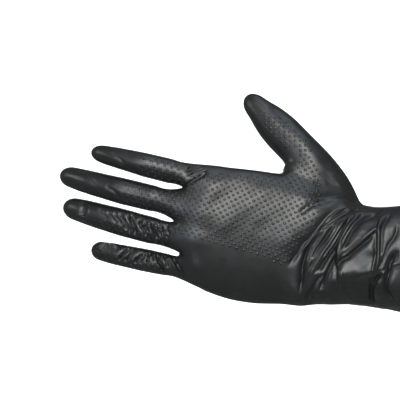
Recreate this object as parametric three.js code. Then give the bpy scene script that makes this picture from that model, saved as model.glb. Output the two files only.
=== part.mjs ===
// A disposable nitrile glove in the form that it takes on a left hand: one hollow film, closed at five
// fingertips and open at a cuff whose edge is rolled into a bead. The wrist is gathered on the back.
// +X runs out of the cuff's mouth, +Z to the thumb's side, -Y out of the back of the hand, and the
// origin is the centre of the mouth. Millimetres and degrees.
import * as THREE from "three";

// Driving dimensions
const FILM = 1.2; // wall of the film
const BEAD_RADIUS = 1.3; // rolled edge of the cuff
const CUFF_LENGTH = 48; // mouth to the first gather, on the middle of the back
const CUFF_WIDTH = 75; // mouth, thumb side to little finger side
const CUFF_DEPTH = 52; // mouth, back to palm side
const WRIST_WIDTH = 74;
const WRIST_DEPTH = 42;
const GATHER_LENGTH = 30; // band of gathers, on the middle of the back
const PALM_LENGTH = 82; // last gather to the finger webs
const PALM_WIDTH = 90;
const PALM_DEPTH = 30.5;
const KNUCKLE_WIDTH = 84; // at the finger webs
const KNUCKLE_DEPTH = 22;
const WEB_ROUND = 4; // how far the film rounds out between two fingers
const INDEX_LENGTH = 74.5; // web to tip, and so for the next three
const MIDDLE_LENGTH = 90;
const RING_LENGTH = 86;
const LITTLE_LENGTH = 71;
const FINGER_WIDTH = 20; // the widest finger
const FINGER_DEPTH = 17.4;
const THUMB_LENGTH = 91; // side of the palm to the tip
const THUMB_WIDTH = 24;
const THUMB_DEPTH = 20;
const THENAR_HEIGHT = 10; // ball of the thumb, on the palm
const HEEL_HEIGHT = 5; // heel of the hand, below the little finger
const KNUCKLE_HEIGHT = 1.8;
const GATHER_DEPTH = 1.8; // ridge to valley
const FOLD_DEPTH = 3; // the deepest fold of the loose cuff

// Pose, in degrees: the hand is bent back and towards the thumb from the line of the cuff
const WRIST_BACK = 9;
const WRIST_SIDE = 12;
const THUMB_RISE = { base: 80, tip: 47 };
const THUMB_REACH = { base: 16, tip: 24 };

// A row for each finger, from the thumb's side. web is the share of the knuckles' half-width where the
// finger's far side leaves the hand, taper narrows it towards its tip, the spreads are the angles at its
// base and tip, and the bends are at its three joints.
const FINGERS = [
  {
    name: "index",
    length: INDEX_LENGTH,
    width: 0.95 * FINGER_WIDTH,
    depth: 0.99 * FINGER_DEPTH,
    web: 0.55,
    taper: 0.74,
    spreads: [2, 2.5],
    bends: [4, 11, 9],
  },
  {
    name: "middle",
    length: MIDDLE_LENGTH,
    width: 0.98 * FINGER_WIDTH,
    depth: FINGER_DEPTH,
    web: 0,
    taper: 0.87,
    spreads: [0.5, 4],
    bends: [9, 10, 9],
  },
  {
    name: "ring",
    length: RING_LENGTH,
    width: FINGER_WIDTH,
    depth: FINGER_DEPTH,
    web: -0.5,
    taper: 0.9,
    spreads: [2, 4],
    bends: [10, 9, 8],
  },
  {
    name: "little",
    length: LITTLE_LENGTH,
    width: 0.8 * FINGER_WIDTH,
    depth: 0.875 * FINGER_DEPTH,
    web: -1,
    taper: 0.98,
    spreads: [-1, -1],
    bends: [8, 8, 8],
  },
];
// Sections of a finger: at is a share of its length, width and depth are shares of its own.
const FINGER_SECTIONS = [
  { at: 0, width: 0.93, depth: 1.03 },
  { at: 0.18, width: 0.96, depth: 1 },
  { at: 0.34, width: 0.98, depth: 0.95 },
  { at: 0.46, width: 1, depth: 0.97 },
  { at: 0.6, width: 0.97, depth: 0.9 },
  { at: 0.74, width: 0.94, depth: 0.87 },
  { at: 0.86, width: 0.89, depth: 0.8 },
  { at: 1, width: 0.74, depth: 0.64 },
];
const FINGER_JOINTS = [0.02, 0.44, 0.72]; // where the three bends are, as shares of the length
const THUMB_SECTIONS = [
  { at: 0, width: 2.05, depth: 1.5 },
  { at: 0.15, width: 1.62, depth: 1.42 },
  { at: 0.3, width: 1.27, depth: 1.25 },
  { at: 0.45, width: 1.13, depth: 1.1 },
  { at: 0.6, width: 1.1, depth: 1 },
  { at: 0.74, width: 0.96, depth: 0.9 },
  { at: 0.86, width: 0.72, depth: 0.74 },
  { at: 1, width: 0.5, depth: 0.55 },
];

// Sections of the body from the mouth to the webs. A stage is 0 at the mouth, 1 at the deep fold of the
// cuff, 2 and 3 at the ends of the gathers, 4 beyond the thumb and 5 at the webs. radial and ulnar are
// the reaches to the thumb's side and the little finger's side of the centreline, back and palm those
// out of its two faces.
const SECTIONS = [
  {
    stage: 0,
    radial: 0.49 * CUFF_WIDTH,
    ulnar: 0.5 * CUFF_WIDTH,
    back: 0.5 * CUFF_DEPTH,
    palm: 0.5 * CUFF_DEPTH,
  },
  {
    stage: 1,
    radial: 0.475 * CUFF_WIDTH,
    ulnar: 0.44 * CUFF_WIDTH,
    back: 0.48 * CUFF_DEPTH,
    palm: 0.46 * CUFF_DEPTH,
  },
  {
    stage: 2,
    radial: 0.53 * WRIST_WIDTH,
    ulnar: 0.445 * WRIST_WIDTH,
    back: 0.51 * WRIST_DEPTH,
    palm: 0.49 * WRIST_DEPTH,
  },
  {
    stage: 2.5,
    radial: 0.56 * WRIST_WIDTH,
    ulnar: 0.48 * WRIST_WIDTH,
    back: 0.47 * WRIST_DEPTH,
    palm: 0.46 * WRIST_DEPTH,
  },
  {
    stage: 3,
    radial: 0.5 * PALM_WIDTH,
    ulnar: 0.435 * PALM_WIDTH,
    back: 0.57 * PALM_DEPTH,
    palm: 0.58 * PALM_DEPTH,
  },
  {
    stage: 3.6,
    radial: 0.52 * PALM_WIDTH,
    ulnar: 0.48 * PALM_WIDTH,
    back: 0.52 * PALM_DEPTH,
    palm: 0.53 * PALM_DEPTH,
  },
  {
    stage: 4.1,
    radial: 0.505 * PALM_WIDTH,
    ulnar: 0.49 * PALM_WIDTH,
    back: 0.49 * PALM_DEPTH,
    palm: 0.5 * PALM_DEPTH,
  },
  {
    stage: 4.6,
    radial: 0.515 * KNUCKLE_WIDTH,
    ulnar: 0.49 * KNUCKLE_WIDTH,
    back: 0.62 * KNUCKLE_DEPTH,
    palm: 0.61 * KNUCKLE_DEPTH,
  },
  {
    stage: 5,
    radial: 0.51 * KNUCKLE_WIDTH,
    ulnar: 0.465 * KNUCKLE_WIDTH,
    back: 0.5 * KNUCKLE_DEPTH,
    palm: 0.5 * KNUCKLE_DEPTH,
  },
];

// Ring lines of the body. A line crosses the back at the distance that its shares of the three
// lengths give, and leads or trails at the two sides by shares of the palm's width: the gathers fan
// out from the base of the thumb. rings is the number of rings from this line to the next.
const LINES = [
  { cuff: 0, gather: 0, palm: 0, radial: 0, ulnar: 0, rings: 5 },
  { cuff: 0.56, gather: 0, palm: 0, radial: -0.08, ulnar: 0.05, rings: 4 },
  { cuff: 1, gather: 0, palm: 0, radial: -0.2, ulnar: 0.15, rings: 14 },
  { cuff: 1, gather: 1, palm: 0, radial: -0.46, ulnar: 0.03, rings: 6 },
  { cuff: 1, gather: 1, palm: 0.42, radial: -0.18, ulnar: -0.03, rings: 6 },
  { cuff: 1, gather: 1, palm: 1, radial: -0.09, ulnar: -0.25, rings: 0 },
];

// Soft mounds under the film. side is 1 on the back and -1 on the palm, stage and share are the place,
// length and width the half-widths in stages and shares.
const MOUNDS = [
  { name: "thenar", side: -1, stage: 3.45, share: 0.5, length: 0.75, width: 0.42, height: THENAR_HEIGHT },
  { name: "heel", side: -1, stage: 3.35, share: -0.6, length: 0.8, width: 0.35, height: HEEL_HEIGHT },
  { name: "index", side: 1, stage: 4.72, share: 0.68, length: 0.16, width: 0.16, height: KNUCKLE_HEIGHT },
  { name: "middle", side: 1, stage: 4.76, share: 0.23, length: 0.16, width: 0.16, height: KNUCKLE_HEIGHT },
  { name: "ring", side: 1, stage: 4.74, share: -0.23, length: 0.16, width: 0.16, height: KNUCKLE_HEIGHT },
  { name: "little", side: 1, stage: 4.66, share: -0.68, length: 0.16, width: 0.16, height: KNUCKLE_HEIGHT },
];

// Gathers on the back of the wrist, from the cuff to the hand: how deep each valley is, and where it
// starts and ends, from -1 at the little finger's side to 1 at the thumb's.
const GATHERS = [
  { depth: 0.8, from: -0.55, to: 0.75 },
  { depth: 1, from: -0.8, to: 0.85 },
  { depth: 0.85, from: -0.9, to: 0.9 },
  { depth: 1, from: -1, to: 0.9 },
  { depth: 0.9, from: -1, to: 0.85 },
  { depth: 1, from: -0.95, to: 0.85 },
  { depth: 0.75, from: -0.7, to: 0.75 },
];
// Folds of the loose cuff, as valleys (depth above 0) and ridges, each on one ring of the body.
const FOLDS = [
  { ring: 2, depth: 0.6, from: -0.75, to: 0.1 },
  { ring: 4, depth: -0.35, from: -0.8, to: 0.9 },
  { ring: 5, depth: 1, from: -0.8, to: 0.8 },
  { ring: 6, depth: -0.3, from: -0.8, to: 0.85 },
  { ring: 8, depth: 0.5, from: -0.9, to: 0.9 },
];

// Fineness of the faceted film
const FACE_SPANS = 4; // spans across one finger's back, palm or side
const FINGER_RINGS = [0.06, 0.13, 0.21, 0.3, 0.4, 0.49, 0.58, 0.67, 0.76, 0.85];
const THUMB_RINGS = [0.07, 0.15, 0.23, 0.32, 0.41, 0.5, 0.6, 0.7, 0.8, 0.88];
const TIP_ANGLES = [32, 62]; // rings of a rounded tip, and then its pole
const BEAD_ANGLES = [135, 90, 45, 0, -45, -90];
const THUMB_ROWS = LINES[3].rings; // the thumb springs from this many rings of the body
const PATH_STEP = 1;

const FACE_SHARE = 0.92; // the flat of a face ends here, and a side rounds off the rest
const SECTION_ROUND = 2.25; // 2 is an ellipse
const BEND_START = 0.25; // the wrist bends between these two shares of the cuff and gathers
const BEND_END = 0.85;

const bodySpans = 10 * FACE_SPANS;
const rad = THREE.MathUtils.degToRad;
const { smoothstep, lerp } = THREE.MathUtils;
const distance = (line) =>
  line.cuff * CUFF_LENGTH + line.gather * GATHER_LENGTH + line.palm * PALM_LENGTH;
const bodyLength = distance(LINES.at(-1));
const wristLength = CUFF_LENGTH + GATHER_LENGTH;
const beadReach = BEAD_RADIUS * (1 - Math.cos(rad(BEAD_ANGLES[0])));

// Reads a table between its rows, on a smooth curve through each column.
function reader(rows, key) {
  const columns = Object.keys(rows[0]).filter((column) => column !== key);
  const curve = new THREE.CubicInterpolant(
    rows.map((row) => row[key]),
    rows.flatMap((row) => columns.map((column) => row[column])),
    columns.length,
    new Float32Array(columns.length),
  );
  return (at) => {
    const values = curve.evaluate(at);
    return Object.fromEntries(columns.map((column, i) => [column, values[i]]));
  };
}

// The directions along the hand, to the thumb's side and out of the back, once the hand is bent back
// and to the side by these angles, and what leads on from it is bent towards the palm by the third.
function directions(back, side, flex = 0) {
  const [b, s, f] = [rad(back), rad(side), rad(flex)];
  const along = new THREE.Vector3(-Math.cos(b) * Math.cos(s), -Math.sin(b) * Math.cos(s), Math.sin(s));
  const radial = new THREE.Vector3(Math.cos(b) * Math.sin(s), Math.sin(b) * Math.sin(s), Math.cos(s));
  const out = new THREE.Vector3(Math.sin(b), -Math.cos(b), 0);
  return {
    along: along.clone().multiplyScalar(Math.cos(f)).addScaledVector(out, -Math.sin(f)),
    radial,
    back: out.clone().multiplyScalar(Math.cos(f)).addScaledVector(along, Math.sin(f)),
  };
}

// Follows a bending line from a point, and gives the place and directions at a distance along it.
function centreline(start, length, anglesAt) {
  const steps = Math.ceil(length / PATH_STEP);
  const step = length / steps;
  const points = [start.clone()];
  for (let i = 0; i < steps; i++) {
    const { along } = directions(...anglesAt((i + 0.5) * step));
    points.push(points[i].clone().addScaledVector(along, step));
  }
  return (at) => {
    const place = Math.min(Math.max(at / step, 0), steps - 1e-6);
    const i = Math.floor(place);
    const point = points[i].clone().lerp(points[i + 1], place - i);
    return { point, ...directions(...anglesAt(at)) };
  };
}

const bodyAt = centreline(new THREE.Vector3(-beadReach, 0, 0), bodyLength, (at) => {
  const bend = smoothstep(at, BEND_START * wristLength, BEND_END * wristLength);
  return [WRIST_BACK * bend, WRIST_SIDE * bend];
});

// The three values of a curve across the back, joined by a parabola: share runs from -1 at the little
// finger's side to 1 at the thumb's.
const across = (radial, middle, ulnar, share) =>
  middle + (share * (radial - ulnar)) / 2 + share ** 2 * ((radial + ulnar) / 2 - middle);

// Distance from the mouth of the ring line at a stage, where it crosses a share of the width.
function lineDistance(stage, share) {
  const i = Math.min(Math.floor(stage), LINES.length - 2);
  const [a, b] = [LINES[i], LINES[i + 1]];
  const part = stage - i;
  const middle = lerp(distance(a), distance(b), part);
  const radial = middle + lerp(a.radial, b.radial, part) * PALM_WIDTH;
  const ulnar = middle + lerp(a.ulnar, b.ulnar, part) * PALM_WIDTH;
  return across(radial, middle, ulnar, share);
}

// The stage whose middle lies at this distance, which is where the body's section is read.
function stageOf(at) {
  const i = LINES.findIndex((line, n) => n === LINES.length - 2 || at < distance(LINES[n + 1]));
  const [a, b] = [distance(LINES[i]), distance(LINES[i + 1])];
  return Math.min(i + (at - a) / (b - a), LINES.length - 1);
}

const sectionAt = reader(SECTIONS, "stage");
const bell = (x) => Math.exp(-(x ** 2));

// A point of the body's film before it is gathered.
function bodyPoint(stage, share, side) {
  const at = lineDistance(stage, share);
  const place = stageOf(at);
  const section = sectionAt(place);
  const { point, radial, back } = bodyAt(at);
  const rise = (1 - Math.abs(share) ** SECTION_ROUND) ** (1 / SECTION_ROUND);
  let out = rise * (side > 0 ? section.back : section.palm);
  for (const mound of MOUNDS)
    if (mound.side === side)
      out += rise * mound.height * bell((place - mound.stage) / mound.length)
        * bell((share - mound.share) / mound.width);
  return point
    .addScaledVector(radial, share * (share > 0 ? section.radial : section.ulnar))
    .addScaledVector(back, side * out);
}

// Height of the gathers and folds on the back of the body, out of the smooth film.
function foldHeight(ring, stage, share, side) {
  const fade = side > 0 ? 1 : Math.max(0, 1 - (1 - Math.abs(share)) / 0.35);
  const reach = (row) => smoothstep(share, row.from - 0.25, row.from + 0.1);
  const window = (row) => reach(row) * (1 - smoothstep(share, row.to - 0.1, row.to + 0.15));
  let height = 0;
  const gap = (lineDistance(3, share) - lineDistance(2, share)) / GATHER_LENGTH;
  GATHERS.forEach((row, n) => {
    const off = (stage - 2) * GATHERS.length - n - 0.5;
    if (Math.abs(off) >= 0.5) return;
    height -= GATHER_DEPTH * row.depth * gap * window(row) * Math.cos(Math.PI * off) ** 2;
  });
  for (const row of FOLDS) if (row.ring === ring) height -= FOLD_DEPTH * row.depth * window(row);
  return height * fade;
}

// The film as it is built: points, the height of the folds at each, and four-sided faces.
const points = [];
const heights = [];
const faces = [];
function addPoint(point, height = 0) {
  heights.push(height);
  return points.push(point) - 1;
}
const next = (ring, m) => ring[(m + 1) % ring.length];

// Joins two rings of points. Seen from the fingertips a ring runs from the thumb's side over the back.
const joinRings = (a, b) => a.forEach((p, m) => faces.push([p, b[m], next(b, m), next(a, m)]));

// Place of a ring's point across the body: four finger faces on the back, a side, four on the palm
// and a side, from the middle of the thumb's side.
function ringPlace(k) {
  const half = FACE_SPANS / 2;
  const turned = ((k % bodySpans) + bodySpans) % bodySpans;
  const mirrored = turned > bodySpans / 2 ? bodySpans - turned : turned;
  const side = turned > bodySpans / 2 ? -1 : 1;
  const sideShare = (steps) => 1 - (1 - FACE_SHARE) * (steps / half) ** 2;
  if (mirrored < half) return { share: sideShare(mirrored), side };
  const fromUlnar = bodySpans / 2 - mirrored;
  if (fromUlnar < half) return { share: -sideShare(fromUlnar), side };
  const corners = [FACE_SHARE, ...FINGERS.slice(0, -1).map((finger) => finger.web), -FACE_SHARE];
  const place = (mirrored - half) / FACE_SPANS;
  const face = Math.min(Math.floor(place), FINGERS.length - 1);
  return { share: lerp(corners[face], corners[face + 1], place - face), side };
}

// Rings of the body from the mouth to the webs. The points inside the thumb's opening are left out.
const stages = LINES.slice(0, -1).flatMap(({ rings }, i) =>
  Array.from({ length: rings }, (_, n) => i + n / rings),
).concat(LINES.length - 1);
const thumbFirst = LINES[0].rings + LINES[1].rings + LINES[2].rings;
const thumbLast = thumbFirst + THUMB_ROWS;
const thumbColumns = [-3, -2, -1, 0, 1];
const column = (k) => (k + bodySpans) % bodySpans;
const insideThumb = (i, k) =>
  i > thumbFirst && i < thumbLast && thumbColumns.slice(1, -1).some((c) => column(c) === k);

const bodyRings = stages.map((stage, i) =>
  Array.from({ length: bodySpans }, (_, k) => {
    if (insideThumb(i, k)) return null;
    const { share, side } = ringPlace(k);
    return addPoint(bodyPoint(stage, share, side), foldHeight(i, stage, share, side));
  }),
);
for (let i = 0; i + 1 < bodyRings.length; i++)
  bodyRings[i].forEach((p, k) => {
    const face = [p, bodyRings[i + 1][k], next(bodyRings[i + 1], k), next(bodyRings[i], k)];
    const inRows = i >= thumbFirst && i < thumbLast;
    const open = inRows && thumbColumns.slice(0, -1).some((c) => column(c) === k);
    if (!open) faces.push(face);
  });

// A finger or thumb: rings along its centreline that grow from the loop where it leaves the body.
function addDigit(loop, length, size, sections, shares, anglesAt, growth) {
  const start = loop.reduce((sum, p) => sum.add(points[p]), new THREE.Vector3()).divideScalar(loop.length);
  const pathAt = centreline(start, length, anglesAt);
  const shapeAt = reader(sections, "at");
  const tip = size.width / 2;
  const ring = (at, shrink) => {
    const { point, radial, back } = pathAt(at);
    const shape = shapeAt(Math.min(at, length - tip) / length);
    const grown = smoothstep(at / length, 0, growth);
    const narrowed = lerp(1, size.taper, at / length);
    return loop.map((p, m) => {
      const angle = (2 * Math.PI * m) / loop.length;
      const round = point
        .clone()
        .addScaledVector(radial, (size.width / 2) * shape.width * narrowed * shrink * Math.cos(angle))
        .addScaledVector(back, (size.depth / 2) * shape.depth * shrink * Math.sin(angle));
      return addPoint(points[p].clone().sub(start).add(point).lerp(round, grown));
    });
  };
  const rings = shares.map((share) => ring(share * (length - tip), 1));
  rings.push(ring(length - tip, 1));
  for (const angle of TIP_ANGLES)
    rings.push(ring(length - tip + tip * Math.sin(rad(angle)), Math.cos(rad(angle))));
  [loop, ...rings.slice(0, -1)].forEach((a, i) => joinRings(a, rings[i]));
  const pole = addPoint(pathAt(length).point);
  const last = rings.at(-1);
  last.forEach((p, m) => faces.push([p, pole, next(last, m)]));
  return rings;
}

// Points between two fingers, from the back to the palm, on the rounded film of the web.
const webRing = bodyRings.at(-1);
function addWeb(n) {
  const top = points[webRing[FACE_SPANS / 2 + n * FACE_SPANS]];
  const bottom = points[webRing[bodySpans - FACE_SPANS / 2 - n * FACE_SPANS]];
  const { along } = bodyAt(bodyLength);
  return Array.from({ length: FACE_SPANS - 1 }, (_, i) => {
    const part = (i + 1) / FACE_SPANS;
    const round = WEB_ROUND * Math.sin(Math.PI * part);
    return addPoint(top.clone().lerp(bottom, part).addScaledVector(along, round));
  });
}
const webs = [1, 2, 3].map(addWeb);

// The loop where a finger leaves the body, from the middle of its side next to the thumb.
function fingerLoop(n) {
  const half = FACE_SPANS / 2;
  const faceFrom = (first) => Array.from({ length: FACE_SPANS + 1 }, (_, i) => webRing[first + i]);
  const back = faceFrom(half + n * FACE_SPANS);
  const palm = faceFrom(bodySpans - half - (n + 1) * FACE_SPANS);
  const sideOf = (first) => Array.from({ length: FACE_SPANS - 1 }, (_, i) => webRing[column(first + i)]);
  const ulnarSide = n < FINGERS.length - 1 ? webs[n] : sideOf(bodySpans / 2 - half + 1);
  const radialSide = n > 0 ? [...webs[n - 1]].reverse() : sideOf(1 - half);
  const loop = [...back, ...ulnarSide, ...palm, ...radialSide];
  return [...loop.slice(1 - half), ...loop.slice(0, 1 - half)];
}

const digits = FINGERS.map((finger, n) => {
  const anglesAt = (at) => {
    const part = at / finger.length;
    const bentAt = (joint) => smoothstep(part, joint, joint + 0.16);
    const bent = finger.bends.reduce((sum, bend, j) => sum + bend * bentAt(FINGER_JOINTS[j]), 0);
    return [WRIST_BACK, WRIST_SIDE + lerp(...finger.spreads, at / finger.length), bent];
  };
  return addDigit(fingerLoop(n), finger.length, finger, FINGER_SECTIONS, FINGER_RINGS, anglesAt, 0.15);
});

// The thumb's loop runs round its opening in the body, from the middle of the side next to the cuff.
const rows = Array.from({ length: THUMB_ROWS - 1 }, (_, i) => bodyRings[thumbFirst + 1 + i]);
const thumbLoop = [
  ...thumbColumns.slice(2).map((c) => bodyRings[thumbFirst][column(c)]),
  ...rows.map((ring) => ring[column(thumbColumns.at(-1))]),
  ...[...thumbColumns].reverse().map((c) => bodyRings[thumbLast][column(c)]),
  ...rows.map((ring) => ring[column(thumbColumns[0])]).reverse(),
  ...thumbColumns.slice(0, 2).map((c) => bodyRings[thumbFirst][column(c)]),
];
const thumbSize = { width: THUMB_WIDTH, depth: THUMB_DEPTH, taper: 1 };
const thumbAngles = (at) => {
  const part = smoothstep(at / THUMB_LENGTH, 0, 0.4);
  const rise = lerp(THUMB_RISE.base, THUMB_RISE.tip, part);
  return [WRIST_BACK, rise, lerp(THUMB_REACH.base, THUMB_REACH.tip, part)];
};
const thumb = addDigit(thumbLoop, THUMB_LENGTH, thumbSize, THUMB_SECTIONS, THUMB_RINGS, thumbAngles, 0.42);

// Eases the film where the digits leave the body: each listed point moves towards its neighbours.
function ease(listed, passes) {
  const near = new Map(listed.map((p) => [p, new Set()]));
  for (const face of faces)
    face.forEach((p, m) => {
      const q = next(face, m);
      near.get(p)?.add(q);
      near.get(q)?.add(p);
    });
  for (let pass = 0; pass < passes; pass++) {
    const moved = listed.map((p) => {
      const sum = new THREE.Vector3();
      for (const q of near.get(p)) sum.add(points[q]);
      return points[p].clone().lerp(sum.divideScalar(near.get(p).size), 0.5);
    });
    listed.forEach((p, i) => points[p].copy(moved[i]));
  }
}
ease([...webs.flat(), ...digits.flatMap((rings) => rings.slice(0, 2).flat()), ...bodyRings.at(-1)], 2);
const thumbSide = bodyRings
  .slice(thumbFirst - 1, thumbLast + 2)
  .flatMap((ring) => [-6, -5, -4, -3, 1, 2, 3].map((c) => ring[column(c)]));
const thumbEnds = [thumbFirst, thumbLast].flatMap((i) => [-2, -1, 0].map((c) => bodyRings[i][column(c)]));
ease([...thumbSide, ...thumbEnds, ...thumb.slice(0, 6).flat()], 4);

// Directions out of the smooth film, averaged from the faces around each point.
function outward() {
  const out = points.map(() => new THREE.Vector3());
  for (const face of faces) {
    const [a, b, c] = face.map((p) => points[p]);
    const d = points[face.at(-1)];
    const normal = new THREE.Vector3().crossVectors(c.clone().sub(a), d.clone().sub(b));
    if (face.length === 3) normal.crossVectors(b.clone().sub(a), c.clone().sub(a));
    for (const p of face) out[p].add(normal);
  }
  return out.map((v) => v.normalize());
}

// Gives the film its folds and its wall, closes the mouth with the rolled bead and makes the mesh.
function filmGeometry() {
  const out = outward();
  const lifted = (depth) => points.map((p, i) => p.clone().addScaledVector(out[i], heights[i] - depth));
  const outer = lifted(0);
  const inner = lifted(FILM);
  const count = points.length;
  const mouth = bodyRings[0];
  const beadRings = BEAD_ANGLES.map((angle, n) =>
    mouth.map((p, m) => {
      const rise = BEAD_RADIUS * (1 + Math.sin(rad(angle))) - FILM;
      const place = points[p].clone().addScaledVector(out[p], rise);
      place.x = -BEAD_RADIUS * (1 - Math.cos(rad(angle)));
      outer.push(place);
      return 2 * count + n * mouth.length + m;
    }),
  );
  const vertices = [...outer.slice(0, count), ...inner, ...outer.slice(count)];
  const index = [];
  const addFace = (face, shift = 0, turned = false) => {
    const corners = turned ? [...face].reverse() : face;
    for (let i = 2; i < corners.length; i++)
      index.push(corners[0] + shift, corners[i - 1] + shift, corners[i] + shift);
  };
  for (const face of faces) {
    addFace(face);
    addFace(face, count, true);
  }
  const edge = [mouth, ...beadRings, mouth.map((p) => p + count)];
  edge.slice(0, -1).forEach((a, i) => {
    const b = edge[i + 1];
    a.forEach((p, m) => addFace([p, next(a, m), next(b, m), b[m]]));
  });
  const geometry = new THREE.BufferGeometry().setFromPoints(vertices).setIndex(index);
  geometry.computeVertexNormals();
  return geometry;
}

const nitrile = new THREE.MeshStandardMaterial({ color: 0x17181a, roughness: 0.38, metalness: 0 });
const glove = new THREE.Mesh(filmGeometry(), nitrile);
glove.name = "glove";

const group = new THREE.Group();
group.add(glove);
export default group;
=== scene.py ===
"""Nitrile exam glove in the form that it takes on a left hand: film, rolled edge, folds and grip studs."""

import math

import bmesh
import bpy
import numpy as np
from bpy.props import FloatProperty, FloatVectorProperty, IntProperty, PointerProperty
from bpy.types import Operator, Panel, PropertyGroup
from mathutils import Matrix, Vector
from mathutils.bvhtree import BVHTree
from mathutils.kdtree import KDTree


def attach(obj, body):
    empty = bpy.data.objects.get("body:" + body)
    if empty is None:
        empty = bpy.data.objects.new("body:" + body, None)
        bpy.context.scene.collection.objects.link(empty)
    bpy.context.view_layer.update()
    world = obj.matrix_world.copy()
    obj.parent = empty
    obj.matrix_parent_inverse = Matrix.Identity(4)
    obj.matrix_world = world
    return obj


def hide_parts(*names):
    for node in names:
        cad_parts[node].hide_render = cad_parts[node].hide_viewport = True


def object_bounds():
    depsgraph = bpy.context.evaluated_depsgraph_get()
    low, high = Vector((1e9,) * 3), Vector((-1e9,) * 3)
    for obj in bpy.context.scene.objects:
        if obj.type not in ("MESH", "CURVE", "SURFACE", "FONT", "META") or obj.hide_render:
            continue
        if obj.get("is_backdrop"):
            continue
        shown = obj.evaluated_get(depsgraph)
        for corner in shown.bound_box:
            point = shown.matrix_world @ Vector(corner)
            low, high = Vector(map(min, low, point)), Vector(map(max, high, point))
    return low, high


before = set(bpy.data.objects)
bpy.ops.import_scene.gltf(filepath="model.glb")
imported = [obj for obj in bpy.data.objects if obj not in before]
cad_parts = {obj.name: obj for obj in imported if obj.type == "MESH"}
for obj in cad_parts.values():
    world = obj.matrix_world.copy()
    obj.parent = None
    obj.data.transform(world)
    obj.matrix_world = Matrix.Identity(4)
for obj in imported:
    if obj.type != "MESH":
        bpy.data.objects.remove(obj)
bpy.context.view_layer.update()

bl_info = {
    "name": "Nitrile exam glove",
    "version": (1, 0, 0),
    "blender": (4, 5, 0),
    "location": "3D View > Sidebar > Glove",
    "description": "A worn exam glove with a gathered wrist, folds, a rolled edge and raised grip studs",
    "category": "Object",
}

MM = 0.001

# ---------------------------------------------------------------- form of the hand, millimetres, degrees

CUFF_LENGTH = 48.0
CUFF_WIDTH = 75.0
CUFF_DEPTH = 52.0
WRIST_WIDTH = 74.0
WRIST_DEPTH = 42.0
GATHER_LENGTH = 30.0
PALM_LENGTH = 82.0
PALM_WIDTH = 90.0
PALM_DEPTH = 30.5
KNUCKLE_WIDTH = 84.0
KNUCKLE_DEPTH = 22.0
WEB_ROUND = 4.0
THUMB = {"length": 87.6, "width": 24.0, "depth": 20.0, "taper": 1.0}
THUMB_RISE = (80.0, 46.6)  # towards the thumb's side, at the base and at the tip
THUMB_REACH = (11.0, 14.0)  # towards the palm
WRIST_BACK = 9.0
WRIST_SIDE = 12.0

# from the index finger to the little finger; web is the share of the knuckles' half-width where the
# finger ends, spreads and bends are degrees
FINGERS = [
    {"length": 74.5, "width": 19.0, "depth": 17.2, "web": 0.55, "taper": 0.74,
     "spreads": (2, 2.5), "bends": (4, 11, 9)},
    {"length": 90.8, "width": 19.6, "depth": 17.4, "web": 0.0, "taper": 0.87,
     "spreads": (0.5, 4), "bends": (9, 10, 9)},
    {"length": 87.2, "width": 20.0, "depth": 17.4, "web": -0.5, "taper": 0.9,
     "spreads": (2, 4), "bends": (10, 9, 8)},
    {"length": 71.0, "width": 16.0, "depth": 15.2, "web": -1.0, "taper": 0.98,
     "spreads": (-1, -1), "bends": (8, 8, 8)},
]
# share of the length, width and depth as shares of the digit's
FINGER_SECTIONS = [
    (0, 0.93, 1.03),
    (0.18, 0.96, 1),
    (0.34, 0.98, 0.95),
    (0.46, 1, 0.97),
    (0.6, 0.97, 0.9),
    (0.74, 0.94, 0.87),
    (0.86, 0.89, 0.8),
    (1, 0.74, 0.64),
]
THUMB_SECTIONS = [
    (0, 2.05, 1.5),
    (0.15, 1.62, 1.42),
    (0.3, 1.27, 1.25),
    (0.45, 1.13, 1.1),
    (0.6, 1.1, 1),
    (0.74, 0.96, 0.9),
    (0.86, 0.72, 0.74),
    (1, 0.5, 0.55),
]
FINGER_JOINTS = (0.02, 0.44, 0.72)  # shares of the length where a bend starts
JOINT_REACH = 0.16
# stage, reach to the thumb's side, to the little finger's side, out of the back, out of the palm
SECTIONS = [
    (0, 0.49 * CUFF_WIDTH, 0.5 * CUFF_WIDTH, 0.5 * CUFF_DEPTH, 0.5 * CUFF_DEPTH),
    (1, 0.475 * CUFF_WIDTH, 0.44 * CUFF_WIDTH, 0.48 * CUFF_DEPTH, 0.46 * CUFF_DEPTH),
    (2, 0.53 * WRIST_WIDTH, 0.445 * WRIST_WIDTH, 0.51 * WRIST_DEPTH, 0.49 * WRIST_DEPTH),
    (2.5, 0.56 * WRIST_WIDTH, 0.48 * WRIST_WIDTH, 0.47 * WRIST_DEPTH, 0.46 * WRIST_DEPTH),
    (3, 0.5 * PALM_WIDTH, 0.435 * PALM_WIDTH, 0.57 * PALM_DEPTH, 0.58 * PALM_DEPTH),
    (3.6, 0.52 * PALM_WIDTH, 0.48 * PALM_WIDTH, 0.52 * PALM_DEPTH, 0.53 * PALM_DEPTH),
    (4.1, 0.505 * PALM_WIDTH, 0.49 * PALM_WIDTH, 0.49 * PALM_DEPTH, 0.5 * PALM_DEPTH),
    (4.6, 0.515 * KNUCKLE_WIDTH, 0.49 * KNUCKLE_WIDTH, 0.62 * KNUCKLE_DEPTH, 0.61 * KNUCKLE_DEPTH),
    (5, 0.51 * KNUCKLE_WIDTH, 0.465 * KNUCKLE_WIDTH, 0.5 * KNUCKLE_DEPTH, 0.5 * KNUCKLE_DEPTH),
]
# cuff, gather, palm, lead at the thumb's side, at the little finger's side, rings to the next line
LINES = [
    (0, 0, 0, 0, 0, 6),
    (0.56, 0, 0, -0.08, 0.05, 4),
    (1, 0, 0, -0.2, 0.15, 7),
    (1, 1, 0, -0.46, 0.03, 6),
    (1, 1, 0.42, -0.18, -0.03, 8),
    (1, 1, 1, -0.09, -0.25, 0),
]
LAST_STAGE = len(LINES) - 1
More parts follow.
